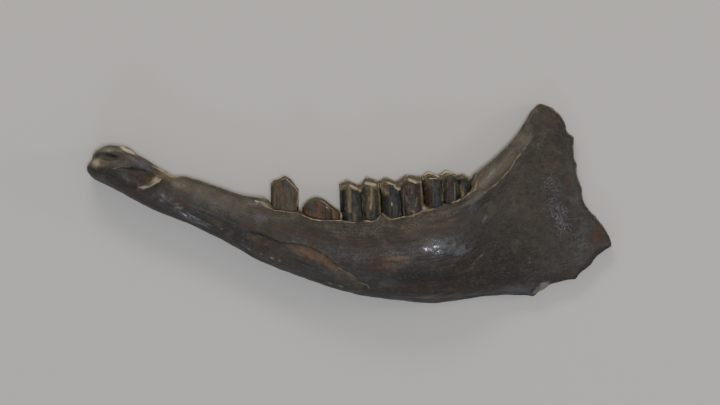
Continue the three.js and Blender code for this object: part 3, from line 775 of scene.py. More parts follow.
# Patches: across, down, half width, half height, tilt in degrees, strength.
BONE_PATCHES = {
    "rust": [
        (169, 192, 9, 2.4, -32, 0.7), (185, 204, 10, 2.4, -33, 0.6), (195, 190, 6, 3, -20, 0.6),
        (218, 220, 8, 3, -20, 0.4), (399, 258, 18, 2.6, 3, 0.35), (597, 236, 8, 13, -30, 0.75),
        (128, 190, 30, 5, -28, 0.4), (148, 177, 8, 3.5, 20, 0.6), (375, 246, 34, 12, -5, 0.3),
        (134, 173, 6, 3, -15, 0.5), (173, 200, 7, 3, -25, 0.4), (300, 232, 24, 5, -20, 0.35),
        (460, 262, 30, 12, 0, 0.3), (430, 285, 60, 6, 3, 0.35), (345, 240, 50, 8, -8, 0.3),
        (285, 228, 20, 5, -20, 0.4), (314, 238, 8, 5, -15, 0.5), (548, 160, 6, 3, 0, 0.6),
        (532, 173, 6, 3, 0, 0.5), (569, 180, 4, 6, 0, 0.5), (190, 186, 9, 4, -20, 0.6),
        (232, 212, 16, 4, -22, 0.4), (252, 226, 16, 4, -22, 0.5), (378, 262, 14, 14, 0, 0.5)],
    "tan": [
        (218, 224, 5, 3, -20, 0.6), (391, 266, 12, 7, 0, 0.45), (396, 258, 15, 2.4, 2, 0.9),
        (311, 253, 29, 7, -22, 0.95), (331, 265.5, 15, 4.5, -37, 0.95), (262, 240, 22, 4, -22, 0.4),
        (350, 276, 18, 2, -37, 0.7), (167, 175.5, 10, 4.5, -24, 1.2), (556, 120, 16, 20, 0, 0.2),
        (104, 163, 5, 4, 0, 1), (152, 178, 7, 3, 30, 0.5), (486, 172, 22, 3, 45, 0.6),
        (512, 150, 24, 4, 50, 0.4), (430, 226, 20, 6, 10, 0.3), (215, 205, 20, 4, -22, 0.15),
        (476, 183, 8, 2.5, 60, 0.9), (196, 189, 4, 3, -20, 0.5), (424, 207, 4, 3, 0, 0.7),
        (468, 192, 14, 2.5, 42, 0.6)],
    "olive": [
        (105, 156, 13, 3, 0, 0.4), (112, 163, 17, 6, -12, 0.6), (149, 181, 9, 3.5, -25, 0.9),
        (150, 168, 12, 4, -30, 0.5), (505, 165, 30, 6, 47, 0.5), (213, 203, 30, 8, -22, 0.5),
        (182, 190, 16, 6, -25, 0.5), (176, 183, 9, 4, -25, 0.7), (272, 231, 20, 5, -20, 0.6),
        (540, 130, 14, 20, 0, 0.6)],
    "ash": [
        (542, 287.5, 10, 3, 38, 1.5), (106, 149.5, 13, 2.6, 4, 1.1), (121, 150.5, 6, 2.4, -15, 0.8),
        (112, 163, 12, 4, -10, 0.4), (96, 163.5, 5, 4, 0, 0.9), (137, 160, 12, 2.5, -27, 0.5),
        (190, 187, 22, 5, -22, 0.5), (266, 205, 8, 3, -20, 0.6), (148, 187, 8, 2.5, 15, 0.7),
        (180, 185, 14, 4, -22, 0.8), (492, 174, 18, 6, 47, 1), (516, 147, 24, 6, 52, 0.6),
        (470, 202, 13, 3, 25, 0.7), (508, 163, 20, 3.5, 50, 1), (522, 145, 16, 4, 52, 0.9),
        (212, 196, 34, 8, -24, 0.6), (472, 197, 14, 3.5, 27, 0.6)],
    # Painted glints: pale winding streaks of highlight on the diastema, the chin, the front of the ramus and
    # the lower facet.
    "painted_glint": [
        (542, 287, 10, 3.4, 38, 1.7), (166, 197.5, 7, 2.6, -33, 1), (217, 204, 5, 2, -20, 0.8),
        (248, 202.5, 9, 2, -12, 0.7), (179, 207, 9, 3, -33, 1), (194, 217, 10, 3.2, -30, 0.9),
        (208, 225, 8, 3, -28, 0.7), (253, 203, 9, 2, -15, 0.5), (262, 217, 12, 2.5, -15, 0.6),
        (487, 178, 14, 2.5, 48, 0.9), (470, 201, 12, 2, 27, 0.7), (109, 151, 4, 1, 0, 0.8)],
    # Blue-grey patches: partly a blue-grey tone, and partly painted sheen where the highlights fall, as on
    # the glossy patch below the last molars and on the diastema's lower flank.
    "bloom_and_painted_sheen": [
        (141, 163, 13, 5, -25, 0.9), (190, 217, 19, 4, -27, 0.6), (163, 200, 3.5, 2, -20, 1),
        (253, 203, 10, 3, -15, 0.6), (262, 217, 16, 4, -15, 0.7), (440, 246, 24, 10, 0, 0.6),
        (484, 219, 2, 5, -30, 0.9), (560, 205, 12, 32, 0, 0.4), (447, 250, 28, 10, -5, 0.5),
        (200, 196, 22, 6, -20, 0.4), (489, 177, 15, 4, 47, 1.1), (471, 201, 12, 3, 25, 0.9),
        (526, 146, 9, 1.5, 50, 0.7), (110, 180, 20, 7, -25, 0.25), (533, 288, 18, 8, 0, 0.3),
        (270, 261, 34, 4, -27, 0.35), (345, 290, 30, 4, -13, 0.3), (425, 298, 50, 4, 3, 0.6),
        (516, 290, 20, 4, 3, 0.9), (542, 288, 10, 3, 38, 1.2), (490, 294, 40, 4, 5, 0.5)],
    # Glossy patches: real gloss from lower roughness and winding bumps, and a painted highlight of pale
    # blue-grey winding lines in their colour.
    "gloss_and_painted_highlight": [
        (436, 247, 16, 9, 0, 1.4), (455, 250, 15, 7, 0, 1.2), (420, 262, 12, 3, 0, 0.5),
        (190, 217, 19, 3.5, -27, 1), (215, 230, 10, 3, -27, 0.6), (163, 200, 4, 2, 0, 1),
        (300, 277, 60, 4, -25, 0.4), (484, 219, 2, 5, -30, 0.7), (253, 203, 12, 3, -15, 0.6),
        (542, 287, 9, 3, 38, 1)],
    # Speckled patches on the ramus: real sparkle from low roughness and bumps, and painted highlights as
    # pale flecks in their colour.
    "sparkle_and_painted_flecks": [
        (560, 215, 14, 30, 23, 0.92), (551, 187, 12, 26, 12, 0.86), (561, 145, 7, 12, 0, 0.5),
        (548, 175, 16, 34, 10, 0.5), (531, 261, 4, 5, 0, 0.9), (563, 262, 4, 5, 0, 0.8),
        (563, 232, 14, 6, 0, 0.6), (561, 226, 9, 14, 25, 1)],
    # Lighter tone in broad patches. The ones over the chin's top band and at the top of the ramus are
    # painted light where those faces catch it.
    "pale": [
        (225, 200, 75, 10, -22, 0.9), (540, 190, 50, 60, 20, 0.5), (125, 158, 26, 10, -15, 0.7),
        (440, 226, 60, 8, 10, 0.3), (494, 172, 30, 9, 47, 1.2), (545, 115, 12, 12, 0, 0.6)],
    # Darker tone in broad patches, several of them low on the corpus near its lower border. The small one at
    # (106, 156.5) is painted shadow in the hollow under the chin's rim.
    "deep": [
        (400, 284, 90, 12, 3, 0.9), (330, 272, 50, 10, -30, 0.8), (350, 232, 60, 12, -5, 0.85),
        (332, 280, 20, 5, -25, 0.9), (125, 184, 30, 6, -28, 0.8), (250, 238, 60, 6, -27, 0.5),
        (440, 268, 30, 8, 0, 0.4), (106, 156.5, 13, 2.6, 4, 1.5)],
}
# The same for the tongue side, which the photograph doesn't show.
TONGUE_PATCHES = {
    "rust": [(250, 240, 40, 8, -22, 0.6), (430, 270, 50, 10, 5, 0.6), (540, 150, 14, 30, 10, 0.4)],
    "tan": [
        (330, 230, 30, 8, -8, 0.5), (560, 215, 16, 30, 10, 0.6), (115, 165, 22, 8, -28, 0.7),
        (505, 210, 14, 6, 30, 0.6)],
    "olive": [(400, 240, 50, 12, 0, 0.5), (180, 200, 30, 8, -27, 0.5), (500, 170, 20, 10, 45, 0.6)],
    "ash": [(118, 163, 24, 8, -25, 0.8), (470, 230, 26, 9, 10, 0.5), (270, 225, 26, 6, -20, 0.5)],
    "bloom_and_painted_sheen": [(360, 255, 40, 7, -4, 0.5), (530, 240, 26, 16, 10, 0.4)],
    "painted_glint": [(300, 255, 30, 4, -22, 0.5), (480, 262, 26, 5, 8, 0.5)],
    "pale": [(520, 190, 50, 50, 20, 0.5), (200, 210, 60, 10, -25, 0.6)],
    # The small deep patch at (515, 203) is painted shade in the nerve's opening.
    "deep": [(380, 285, 80, 10, 0, 0.7), (140, 185, 40, 5, -28, 0.6), (515, 203, 8, 5, 30, 1.2)],
}
# Bare cream bone, only where the surface faces up enough. The chain of small spots along the lower corpus,
# from (243, 245) to (340.5, 286), is painted highlight.
CREAM_SPOTS = [
    (96.5, 163, 6.4, 5.4, 0, 0.85), (170, 175, 9, 2.2, -24, 0.8), (109, 151, 7, 1.8, 0, 0.5),
    (154.5, 181.5, 8, 2.4, 30, 0.75), (128.8, 149.8, 11, 2.6, -25, 2), (146, 187, 5, 1.6, 8, 0.9),
    (156.5, 180, 5.5, 3.4, 35, 0.9), (424.5, 208, 4, 3, 0, 0.7), (266, 204, 8, 2, -25, 0.7),
    (470, 191, 9, 1.6, 45, 0.75), (261, 254, 1.6, 1.1, 0, 0.55), (272.5, 258, 2.8, 1.2, -20, 0.7),
    (330, 283, 3.4, 1.2, -20, 0.6), (340.5, 286, 2.6, 1.1, -20, 0.55), (243, 245, 2.2, 1.1, -25, 0.45),
    (249, 249, 2.5, 1.1, -25, 0.5), (280, 260.5, 2, 1.1, -25, 0.55), (222, 229, 1.5, 1.2, 0, 0.7),
    (542, 287.5, 9, 2, 38, 0.35), (341, 216, 2.6, 5, 0, 0.9)]

LINE_REACH = 9.0  # in half widths: further away than this, no line is felt
LINE_FADE = (2, 5)
LINE_FRAY = [(5, 1.2, 91)]  # makes a line thinner and wider along its length
THINNEST = 0.15


def beside(points, lines):
    """How far points are from the nearest of these lines, in half widths of it, and below 0 on its right.
    That keeps a fine line sharp between the points of a coarser mesh. The last number grows away from it."""
    closest = np.full(len(points), LINE_REACH)
    for path, half_width in lines:
        away, side, _ = to_line(points, path)
        away = away / (half_width * np.maximum(THINNEST, 1 + lumps(points, LINE_FRAY)))
        closest = np.where(away < np.abs(closest), away * np.where(side < 0, -1, 1), closest)
    return np.stack([closest, closest * 0, ramp(np.abs(closest), *LINE_FADE) * LINE_REACH], axis=1)


PATCH_FADE = (1.6, 0.2)  # a patch fades between these shares of its half size


def patches(points, listed):
    """How deep points are in any of these patches: its strength in the middle, and 0 outside."""
    total = np.zeros(len(points))
    for across, down, wide, high, tilt, strength in listed:
        off = points[:, :2] - seen([(across, down)])[0]
        turn = np.radians(tilt)
        long = off[:, 0] * np.cos(turn) + off[:, 1] * np.sin(turn)
        short = off[:, 1] * np.cos(turn) - off[:, 0] * np.sin(turn)
        away = np.hypot(long / (wide * PIXEL), short / (high * PIXEL))
        total = np.maximum(total, strength * ramp(away, *PATCH_FADE))
    return total


# The grain follows both borders up to this station, where they turn up. Its width is even along the jaw.
GRAIN_LAST = 27
GRAIN_STEPS = 400
GRAIN_WIDTH = 50
LEAST_WIDTH = 20


def grain_of(points):
    """Coordinates that run along the jaw, across it between its two borders, and through it."""
    stations = np.linspace(0, LAST, GRAIN_STEPS)
    low, high = spline(LOWER_BORDER, stations), spline(UPPER_BORDER, stations)
    forward = stations < GRAIN_LAST
    bottom = np.interp(points[:, 0], low[forward, 0], low[forward, 1])
    top = np.interp(points[:, 0], high[forward, 0], high[forward, 1])
    across = (points[:, 1] - bottom) / np.maximum(LEAST_WIDTH, top - bottom) * GRAIN_WIDTH
    return np.stack([points[:, 0], across, points[:, 2]], axis=1)


# Low relief along lines on the cheek side: the line, and its form's reach and height in millimetres.
FINE_FORMS = [
    (CHIN_RIM_HOLLOW, 2.6, -0.5), (CHIN_RIM, 1.6, 0.8), (CHIN_KNOB, 2.6, 1.1), (CHIN_CRACK, 0.9, -1.1),
    (CHIN_LIGHT_LINE, 0.9, 0.5), (CHIN_FUNNEL, 4.2, -0.6), (CHIN_LIP, 1.5, 1.1), (OBLIQUE_LINE, 1.5, 0.9)]
# The same for the tongue side, in the outline's millimetres: the line that the floor of the mouth hung from,
# the groove down from the nerve's opening, the edge of the joint with the other jaw, and a hollow.
TONGUE_FORMS = [
    ([(100, -6), (80, -20), (50, -32), (10, -38), (-40, -34)], 4.5, 1.1),
    ([(122, -3), (112, -12), (100, -22)], 1.6, -1),
    ([(-150, 20), (-156, 14), (-170, 16), (-184, 23), (-189, 30), (-182, 37), (-166, 38), (-152, 30),
      (-150, 20)], 1.8, 0.9),
    ([(-60, -10), (-20, -24), (30, -26)], 7, -1.2),
]
JOINT = (-169, 27)
JOINT_REACH = (22, 12)
JOINT_LUMPS = [((5, 2, 5), 1.3, 12), (1.8, 0.5, 13)]
# Lumps all over the bone and along its grain, its pores, the old scar, and the lip of the teeth's sockets.
BONE_LUMPS = [(26, 0.5, 1), (9, 0.26, 2), (3.2, 0.1, 3)]
BONE_FIBRES = [((16, 2.6, 3), 0.16, 4), ((9, 1.5, 2), 0.08, 5)]
PORES = dict(spacing=7, radius=1.1, share=0.3, seed=6)
PORE_DEPTH = 0.5
SCAR_DEPTH = 1.5
SCAR_FIBRES = [((7, 2, 2), 0.35, 8)]
SCAR_FRAY = [(4, 0.5, 7)]
SCAR_SIDE = (-0.3, 0.5)  # the sharp upper edge, in millimetres below the line
SCAR_FADE = (20, 6)  # the lower side
SCAR_START = (0, 0.06)  # shares of the line's length
SCAR_END = (1, 0.97)
LIP_REACH = 0.9
LIP_RISE = 0.4
LIP_LUMPS = [(3, 0.35, 9)]
# The broken back edge and the chip in the lower border: none at the first distance, all at the second. The
# spongy inside of the bone is open there, less so in the chip.
BACK_BREAK = (3, 0.8)
CHIP = (6, 2)
CHIP_SHARE = 0.4
SPONGE_LUMPS = [(2.2, 0.2, 61)]
SPONGE_PITS = dict(spacing=2.6, radius=1.2, share=0.6, seed=62)
SPONGE_DEPTH = 1.1
# How far up a surface has to face, from -1 to 1, for a form or a mark to be there: none at the first number,
# all at the second.
CHEEK_FORM_FACES = (0.05, 0.4)
TONGUE_FORM_FACES = (-0.05, -0.4)
LIP_FACES = (-0.2, 0.4)
BREAK_FACES = (0.96, 0.7)
CHEEK_MARK_FACES = (-0.1, 0.3)
TONGUE_MARK_FACES = (0.1, -0.3)
CREAM_FACES = (0, 0.3)
CREAM_FRAY = [(4, 0.3, 92)]
LINES_TURN = -0.2


def bone_relief(points, facing):
    """How far the surface of the bone is moved out at each point, in millimetres."""
    up = facing[:, 2]
    cheek, tongue = ramp(up, *CHEEK_FORM_FACES), ramp(up, *TONGUE_FORM_FACES)
    grain = grain_of(points)
    height = lumps(points, BONE_LUMPS) + lumps(grain, BONE_FIBRES) - pits(points, **PORES) * PORE_DEPTH
    height -= scar_share(points) * cheek * (SCAR_DEPTH + lumps(grain, SCAR_FIBRES))
    lip = near(away_from(points, SOCKET_LIP), LIP_REACH)
    height += lip * (LIP_RISE + lumps(points, LIP_LUMPS)) * ramp(up, *LIP_FACES)
    for forms, side in ((FINE_FORMS, cheek), (TONGUE_FORMS, tongue)):
        for path, reach, rise in forms:
            height += near(away_from(points, path), reach) * rise * side
    rough = near(np.linalg.norm((points[:, :2] - JOINT) / JOINT_REACH, axis=1), 1) * tongue
    return height + rough * lumps(points, JOINT_LUMPS)


def scar_share(points):
    """1 on the sunken old scar below the cheek, 0 above its sharp upper edge, and fading below."""
    away, side, along = to_line(points, SCAR_EDGE)
    below = np.where(side < 0, away, -away) + lumps(points, SCAR_FRAY)
    across = ramp(below, *SCAR_SIDE) * ramp(below, *SCAR_FADE)
    return across * ramp(along, *SCAR_START) * ramp(along, *SCAR_END)


def broken_edge(points, facing):
    """1 on the broken back edge, and less on the chip in the lower border."""
    back = ramp(away_from(points, BACK_EDGE), *BACK_BREAK)
    chip = ramp(away_from(points, LOWER_BREAK), *CHIP) * CHIP_SHARE
    return np.maximum(back, chip) * ramp(facing[:, 2], *BREAK_FACES)


SMOOTHING = dict(factor=0.5, iterations=3)


def jaw_bone():
    piece = bone_blank()
    for tooth in TEETH.values():
        combine(piece, closed_mesh("socket", tooth_rings(tooth, SOCKET_STEP, SOCKET_GAP)[0]), "DIFFERENCE")
    for operation, shapes in (("UNION", BONE_RISES), ("DIFFERENCE", BONE_PITS)):
        for shape in shapes:
            combine(piece, ball(*shape), operation)
    change(piece, "REMESH", mode="VOXEL", voxel_size=BONE_GRAIN * MM)
    change(piece, "SMOOTH", **SMOOTHING)
    points, facing = points_of(piece)
    sponge = lumps(points, SPONGE_LUMPS) - pits(points, **SPONGE_PITS) * SPONGE_DEPTH
    out = bone_relief(points, facing) + broken_edge(points, facing) * sponge
    moved = points + facing * out[:, None]
    moved[:, 2] = np.maximum(moved[:, 2], 0)
    move_points(piece, nudged(moved))
    faces = sum(len(face.vertices) - 2 for face in piece.data.polygons)
    change(piece, "DECIMATE", ratio=min(1, MOST_BONE_FACES / faces))
    piece.data.materials.clear()
    return piece


def mark_bone(piece):
    """The marks that the bone's material reads. Its fine noise then frays their edges."""
    points, facing = points_of(piece)
    up = facing[:, 2]
    cheek, tongue = ramp(up, *CHEEK_MARK_FACES), ramp(up, *TONGUE_MARK_FACES)
    marks = {"grain": grain_of(points)}
    for name, listed in BONE_PATCHES.items():
        on_tongue = patches(points, TONGUE_PATCHES.get(name, []))
        marks[name] = patches(points, listed) * cheek + on_tongue * tongue
    for name, sides in BONE_LINES.items():
        marks[name] = np.where(up[:, None] > LINES_TURN, *(beside(points, lines) for lines in sides))
    marks["cream"] = patches(points, CREAM_SPOTS) * ramp(up + lumps(points, CREAM_FRAY), *CREAM_FACES)
    marks["dull"] = 1 - np.clip(marks["gloss_and_painted_highlight"], 0, 1)
    marks["scar"] = scar_share(points) * cheek
    marks["broken"] = broken_edge(points, facing)
    for name, values in marks.items():
        mark(piece.data, name, values)


PATTERN_ROUGHNESS = 0.58


def pattern_outputs(tree, table):
    """Noise patterns by name, centred on 0. A folded one is 0 along winding lines and rises beside them."""
    made = {}
    for name, (source, sizes, octaves, folded) in table.items():
        if source == "place":
            vector, unit = add_node(tree, "ShaderNodeTexCoord").outputs["Object"], MM
        else:
            vector, unit = add_node(tree, "ShaderNodeAttribute", attribute_name=source).outputs["Vector"], 1
        scaled = add_node(tree, "ShaderNodeMapping", {
            "Vector": vector, "Scale": [1 / (size * unit) for size in sizes]})
        cloud = add_node(tree, "ShaderNodeTexNoise", {
            "Vector": scaled.outputs["Vector"], "Scale": 1, "Detail": octaves,
            "Roughness": PATTERN_ROUGHNESS})
        centred = add_node(tree, "ShaderNodeMath", {0: cloud.outputs["Fac"], 1: 0.5}, operation="SUBTRACT")
        if folded:
            centred = add_node(tree, "ShaderNodeMath", {0: centred.outputs["Value"]}, operation="ABSOLUTE")
        made[name] = centred.outputs["Value"]
    return made


def layer_share(tree, patterns, layer):
    """How much of a layer shows: nothing where its mark and weighed pattern add up to low, most at high."""
    mark_name, pattern, weight, low, high, most = layer
    marked = 0.0
    if mark_name:
        source = add_node(tree, "ShaderNodeAttribute", attribute_name=mark_name)
        marked = source.outputs["Fac"]
    if mark_name and mark_name.endswith("line"):
        marked = add_node(tree, "ShaderNodeVectorMath", {
            0: source.outputs["Vector"]}, operation="LENGTH").outputs["Value"]
    total = add_node(tree, "ShaderNodeMath", {
        0: patterns[pattern], 1: weight, 2: marked}, operation="MULTIPLY_ADD").outputs["Value"]
    return add_node(tree, "ShaderNodeMapRange", {
        "Value": total, "From Min": low, "From Max": high, "To Min": 0.0, "To Max": most}).outputs["Result"]


def total_of(tree, patterns, first, layers):
    """A first value with the shares of layers added to it."""
    total = first
    for layer in layers:
        total = add_node(tree, "ShaderNodeMath", {
            0: total, 1: layer_share(tree, patterns, layer)}, operation="ADD").outputs["Value"]
    return total


def finish(name, ior, specular, patterns, first_colour, colours, first_roughness, roughnesses, bumps,
           bump_depth):
    """A material of layers. Colours lie over each other, roughnesses add up, and so do the bumps."""
    material = bpy.data.materials.new(name)
    material.use_nodes = True
    tree = material.node_tree
    shader = tree.nodes["Principled BSDF"]
    shader.inputs["IOR"].default_value = ior
    shader.inputs["Specular IOR Level"].default_value = specular
    patterns = pattern_outputs(tree, patterns)
    base = first_colour
    for *layer, colour in colours:
        base = add_node(tree, "ShaderNodeMixRGB", {
            "Fac": layer_share(tree, patterns, layer), "Color1": base, "Color2": colour}).outputs["Color"]
    tree.links.new(base, shader.inputs["Base Color"])
    tree.links.new(total_of(tree, patterns, first_roughness, roughnesses), shader.inputs["Roughness"])
    bump = add_node(tree, "ShaderNodeBump", {
        "Height": total_of(tree, patterns, 0.0, bumps), "Strength": 1.0, "Distance": bump_depth * MM})
    tree.links.new(bump.outputs["Normal"], shader.inputs["Normal"])
    return material


# Patterns: what they follow, the size of their lumps along three axes in millimetres, how many finer octaves
# they hold, and whether they are folded into winding lines.
BONE_PATTERNS = {
    "clouds": ("place", (34, 34, 34), 3, False),
    "lumps": ("place", (9, 9, 9), 3, False),
    "fray": ("place", (3, 3, 3), 4, False),
    "crumbs": ("place", (1.5, 1.5, 1.5), 2, False),  # pores are finer than this, and would not show
    "fibres": ("grain", (22, 2.2, 3), 3, False),
    "hairs": ("grain", (14, 1.3, 2), 3, False),
    "worms": ("grain", (9, 4.6, 5), 1, True),
}
# Layers: mark, pattern, weight, low, high, most, and the colour.
BONE_COLOURS = [
    (None, "clouds", 1, -0.12, 0.12, 1, "#332d27"),
    # Lighter tone, in places painted light.
    ("pale", "clouds", 0.6, 0, 1, 0.8, "#4d463c"),
    # Darker tone, in places painted shade.
    ("deep", "clouds", 0.6, 0, 1, 0.8, "#1e1b18"),
    (None, "lumps", 1, 0, 0.25, 0.5, "#3d362b"),
    (None, "fibres", 1, 0.02, 0.22, 0.4, "#4b453d"),
    (None, "hairs", 1, 0.0, -0.16, 0.5, "#1b1815"),
    (None, "crumbs", 1, 0.05, 0.2, 0.3, "#554c40"),
    (None, "crumbs", 1, -0.06, -0.2, 0.35, "#171411"),
    ("rust", "fray", 1.5, 0.15, 0.9, 0.85, "#4c3020"),
    ("scar", "fray", 1, 0.5, 1.2, 0.35, "#594a38"),
    ("tan", "fray", 1.5, 0.2, 1.1, 0.9, "#6b5439"),
    ("olive", "lumps", 1, 0, 1, 0.8, "#423f30"),
    # Blue-grey tone, and painted sheen where the highlights fall.
    ("bloom_and_painted_sheen", "hairs", 2, 0.25, 1, 0.65, "#5a5a60"),
    ("ash", "lumps", 1.5, 0.1, 1, 0.85, "#625f54"),
    # Painted glints: pale winding streaks.
    ("painted_glint", "worms", -6, 0.2, 0.8, 0.6, "#7c7d78"),
    # Painted highlight: pale blue-grey winding lines over the glossy patches.
    ("gloss_and_painted_highlight", "worms", -5, 0.3, 0.8, 0.4, "#747a80"),
    # Painted highlights: pale blue-grey flecks in the speckled patches.
    ("sparkle_and_painted_flecks", "crumbs", 3, 0.9, 1.4, 0.5, "#767c82"),
    # Painted shadow along the scar's upper edge and the chin's crack.
    ("shadow_and_crack_line", "fray", 3, 1.3, 0.6, 0.7, "#14110e"),
    # Painted light along lit edges and crests, and a pale scratch.
    ("painted_light_and_scratch_line", "fray", 3, 1.3, 0, 0.8, "#7a7467"),
    ("broken", "fray", 1.5, 0.3, 0.9, 0.9, "#7a7162"),
    ("broken", "lumps", 3, 0.9, 1.4, 0.7, "#5a5142"),
    ("broken", "crumbs", -5, 1.2, 1.7, 0.75, "#2f291f"),
    ("cream_line", "fray", 3, 1.5, 0.4, 0.7, "#766c57"),
    ("cream_line", "lumps", 5, 0.7, -0.5, 0.9, "#b8ae98"),
    ("cream", "fray", 1, 0.1, 1, 0.85, "#80755e"),
    ("cream", "lumps", 1.6, 0.6, 1.5, 0.95, "#cdc3ae"),
    ("cream", "fibres", 4, 1.5, 2.3, 0.6, "#9c8b72"),
]
BONE_ROUGHNESS = [
    (None, "crumbs", 1, -0.2, 0.2, 0.16),
    ("gloss_and_painted_highlight", "worms", -5, 0.2, 0.7, -0.34),
    ("rust", "fray", 1, 0.2, 0.8, 0.25),
    ("sparkle_and_painted_flecks", "crumbs", 3, 0.7, 1.3, -0.3),
]
BONE_BUMPS = [
    ("dull", "hairs", 1, 0.6, 1.4, 0.6),
    ("dull", "crumbs", 1, 0.6, 1.4, 0.35),
    ("gloss_and_painted_highlight", "worms", -5, 0, 1, 0.75),
    ("sparkle_and_painted_flecks", "crumbs", 3, 0.2, 1.4, 1.5),
]


def mineralised_bone():
    """Bone turned to stone in the ground: dense and dark, streaked along its grain, with a dull polish. Its
    colour also holds painted highlights, sheen, lit edges and shade.
    """
    return finish(
        "mineralised_bone", ior=1.55, specular=0.45, patterns=BONE_PATTERNS,
        first_colour="#2b2722", colours=BONE_COLOURS, first_roughness=0.42, roughnesses=BONE_ROUGHNESS,
        bumps=BONE_BUMPS, bump_depth=0.3)


# Marks on the crowns as strokes in the photograph's pixels: from, to, half width, strength.
CROWN_STROKES = {
    "cement": [
        (342, 187, 348, 187, 2.6, 0.9), (366, 187.5, 376, 188, 2.2, 0.7), (404, 187, 413, 187, 1.6, 0.6),
        (425, 179, 432, 181, 2.4, 0.7), (445, 178, 451, 177, 1.4, 0.5), (348.5, 188, 350, 211, 2.2, 1),
        (353.5, 211, 354, 220, 1.6, 0.8), (340.3, 186, 342, 205, 0.8, 0.6), (371.5, 186, 370.5, 208, 3, 1),
        (367.8, 214, 367.8, 217, 1.6, 0.8), (362, 195, 363.5, 219, 1, 0.6),
        (378.7, 188, 380, 213, 1.2, 0.8), (380.5, 187, 386, 193, 3.2, 0.9),
        (390.6, 196, 391.4, 202, 0.7, 0.6), (411.4, 186, 411.8, 193, 1.6, 0.7),
        (405.6, 196, 407, 201, 1.3, 0.9), (407, 201, 410.5, 203.5, 1.1, 0.8),
        (416.8, 198, 415.2, 206, 1.1, 0.8), (408.5, 208.5, 414.5, 212.5, 1.9, 0.8),
        (403, 190, 404, 216, 0.9, 0.7), (424.5, 176, 430, 185, 2.8, 0.8),
        (442.5, 180, 442.8, 200, 1.4, 0.7), (454.3, 183, 454.6, 201, 0.8, 0.9),
        (460, 186, 463, 198, 2.6, 0.9), (420.5, 182, 423, 206, 1.5, 0.9), (297.5, 190, 297, 204, 1.2, 0.6),
        (331, 210, 335, 217, 3, 0.8), (334, 212, 338, 220, 2, 0.6), (270.8, 183, 270.8, 204, 1, 0.5)],
    # Brown: stains. The wide stroke at (427, 187) is painted shade on the recessed front end of the last
    # molar.
    "brown": [
        (407, 187, 408, 198, 1.8, 1), (416, 186, 416, 210, 1.6, 0.8), (427, 187, 428.5, 205, 3.6, 1),
        (449.5, 179, 450, 200, 2.3, 1), (317, 201, 318, 215, 3, 0.7), (346, 196, 347, 202, 1.4, 0.4),
        (327.5, 208, 327.8, 217, 1, 1), (385, 197, 388, 206, 2.6, 0.6), (283, 193, 286, 199, 3, 0.5),
        (324, 204, 325, 218, 2.2, 0.7), (307, 210, 326, 212, 5, 0.85)],
    "stain": [
        (279.5, 186, 280.5, 192, 2.4, 0.9), (305, 212, 316, 216.5, 2.6, 0.9), (319, 202, 319.6, 217, 2, 1),
        (449, 176, 449.5, 183, 1.4, 0.5), (407, 187, 408, 192, 1.2, 0.6)],
    "slate": [
        (311, 203, 312, 211, 4, 0.65), (285, 180, 288, 187, 2.6, 0.9), (297, 191, 296.5, 204, 1, 0.7),
        (354, 196, 358, 214, 3, 0.6), (395, 190, 395, 214, 2.6, 0.6), (282, 193, 288, 197, 2, 0.4),
        (434, 184, 437, 202, 3, 0.6)],
    # Ivory: the pale worn edges of the chewing faces, with painted light on the facets that face the light.
    "ivory": [
        (351, 185.5, 359.5, 190.5, 1.3, 1.1), (364, 178, 371, 177.5, 0.8, 0.6),
        (366, 183, 375, 185, 1.1, 1.1), (381, 181, 391, 182, 0.8, 0.6), (388, 182.4, 394, 184.6, 1, 1),
        (395, 186.5, 399, 189, 1.1, 1.2), (404.5, 178.5, 408, 175.2, 0.7, 0.7),
        (409, 179.5, 415.5, 182.3, 1.1, 1.2), (415.5, 182.3, 420, 182.4, 0.9, 0.9),
        (424.5, 175, 428, 172.6, 0.8, 0.8), (428, 172.6, 434, 173.6, 1, 1.1),
        (434, 173.6, 439, 177, 1, 1.1), (429, 178.4, 439, 179, 0.6, 0.7), (442, 175, 446, 171.6, 1, 0.9),
        (446, 171.6, 451, 173, 1.4, 1.2), (451, 173, 455, 176, 0.8, 0.7), (341, 182, 349, 180, 0.8, 0.5),
        (461, 177, 464, 175, 0.6, 0.6), (464, 175, 469, 178, 0.6, 0.5), (391.7, 203.4, 391.7, 205, 1, 0.6),
        (271, 186, 273.5, 183, 0.5, 0.6), (273.5, 183, 282, 179.4, 0.5, 0.5),
        (282, 179.4, 286, 178.6, 0.5, 0.6), (286, 178.6, 294, 186, 0.5, 0.6),
        (294, 186, 299, 193, 0.5, 0.6), (298.4, 194, 297.6, 206, 0.7, 0.6),
        (302, 207.5, 305.4, 203.8, 0.5, 0.5), (305.4, 203.8, 312, 200.2, 0.5, 0.5),
        (312, 200.2, 318, 199.6, 0.5, 0.5), (318, 199.6, 323, 201.4, 0.5, 0.5),
        (323, 201.4, 332, 209, 0.5, 0.5), (326.6, 207.2, 328, 208, 0.5, 0.8)],
}


def strokes(points, listed):
    """How deep points are in any of these strokes: its strength along the middle, 0 at its full width."""
    total = np.zeros(len(points))
    for across, down, to_across, to_down, half, strength in listed:
        away = away_from(points, seen([(across, down), (to_across, to_down)]))
        total = np.maximum(total, strength * (1 - away / (2 * half * PIXEL)))
    return np.clip(total, 0, 1)


# How far a crown's surface faces up for its marks, and how far towards its chewing face for its walls'.
CROWN_MARK_FACES = (-0.1, 0.35)
IVORY_FACES = (-0.4, 0.1)
WALL_FACES = (0.85, 0.6)
HIDDEN_WALL_FACES = (0.9, 0.6)
WORN_FACES = (0.55, 0.85)
IVORY_BETWEEN_RIDGES = 0.4
HIDDEN_STREAKS = [((2.4, 14, 2.4), 1, 83), ((1.2, 6, 1.2), 0.6, 84)]
ROOT_FRAY = [(6, 2, 85)]
ROOT_FROM = (-12, -17)


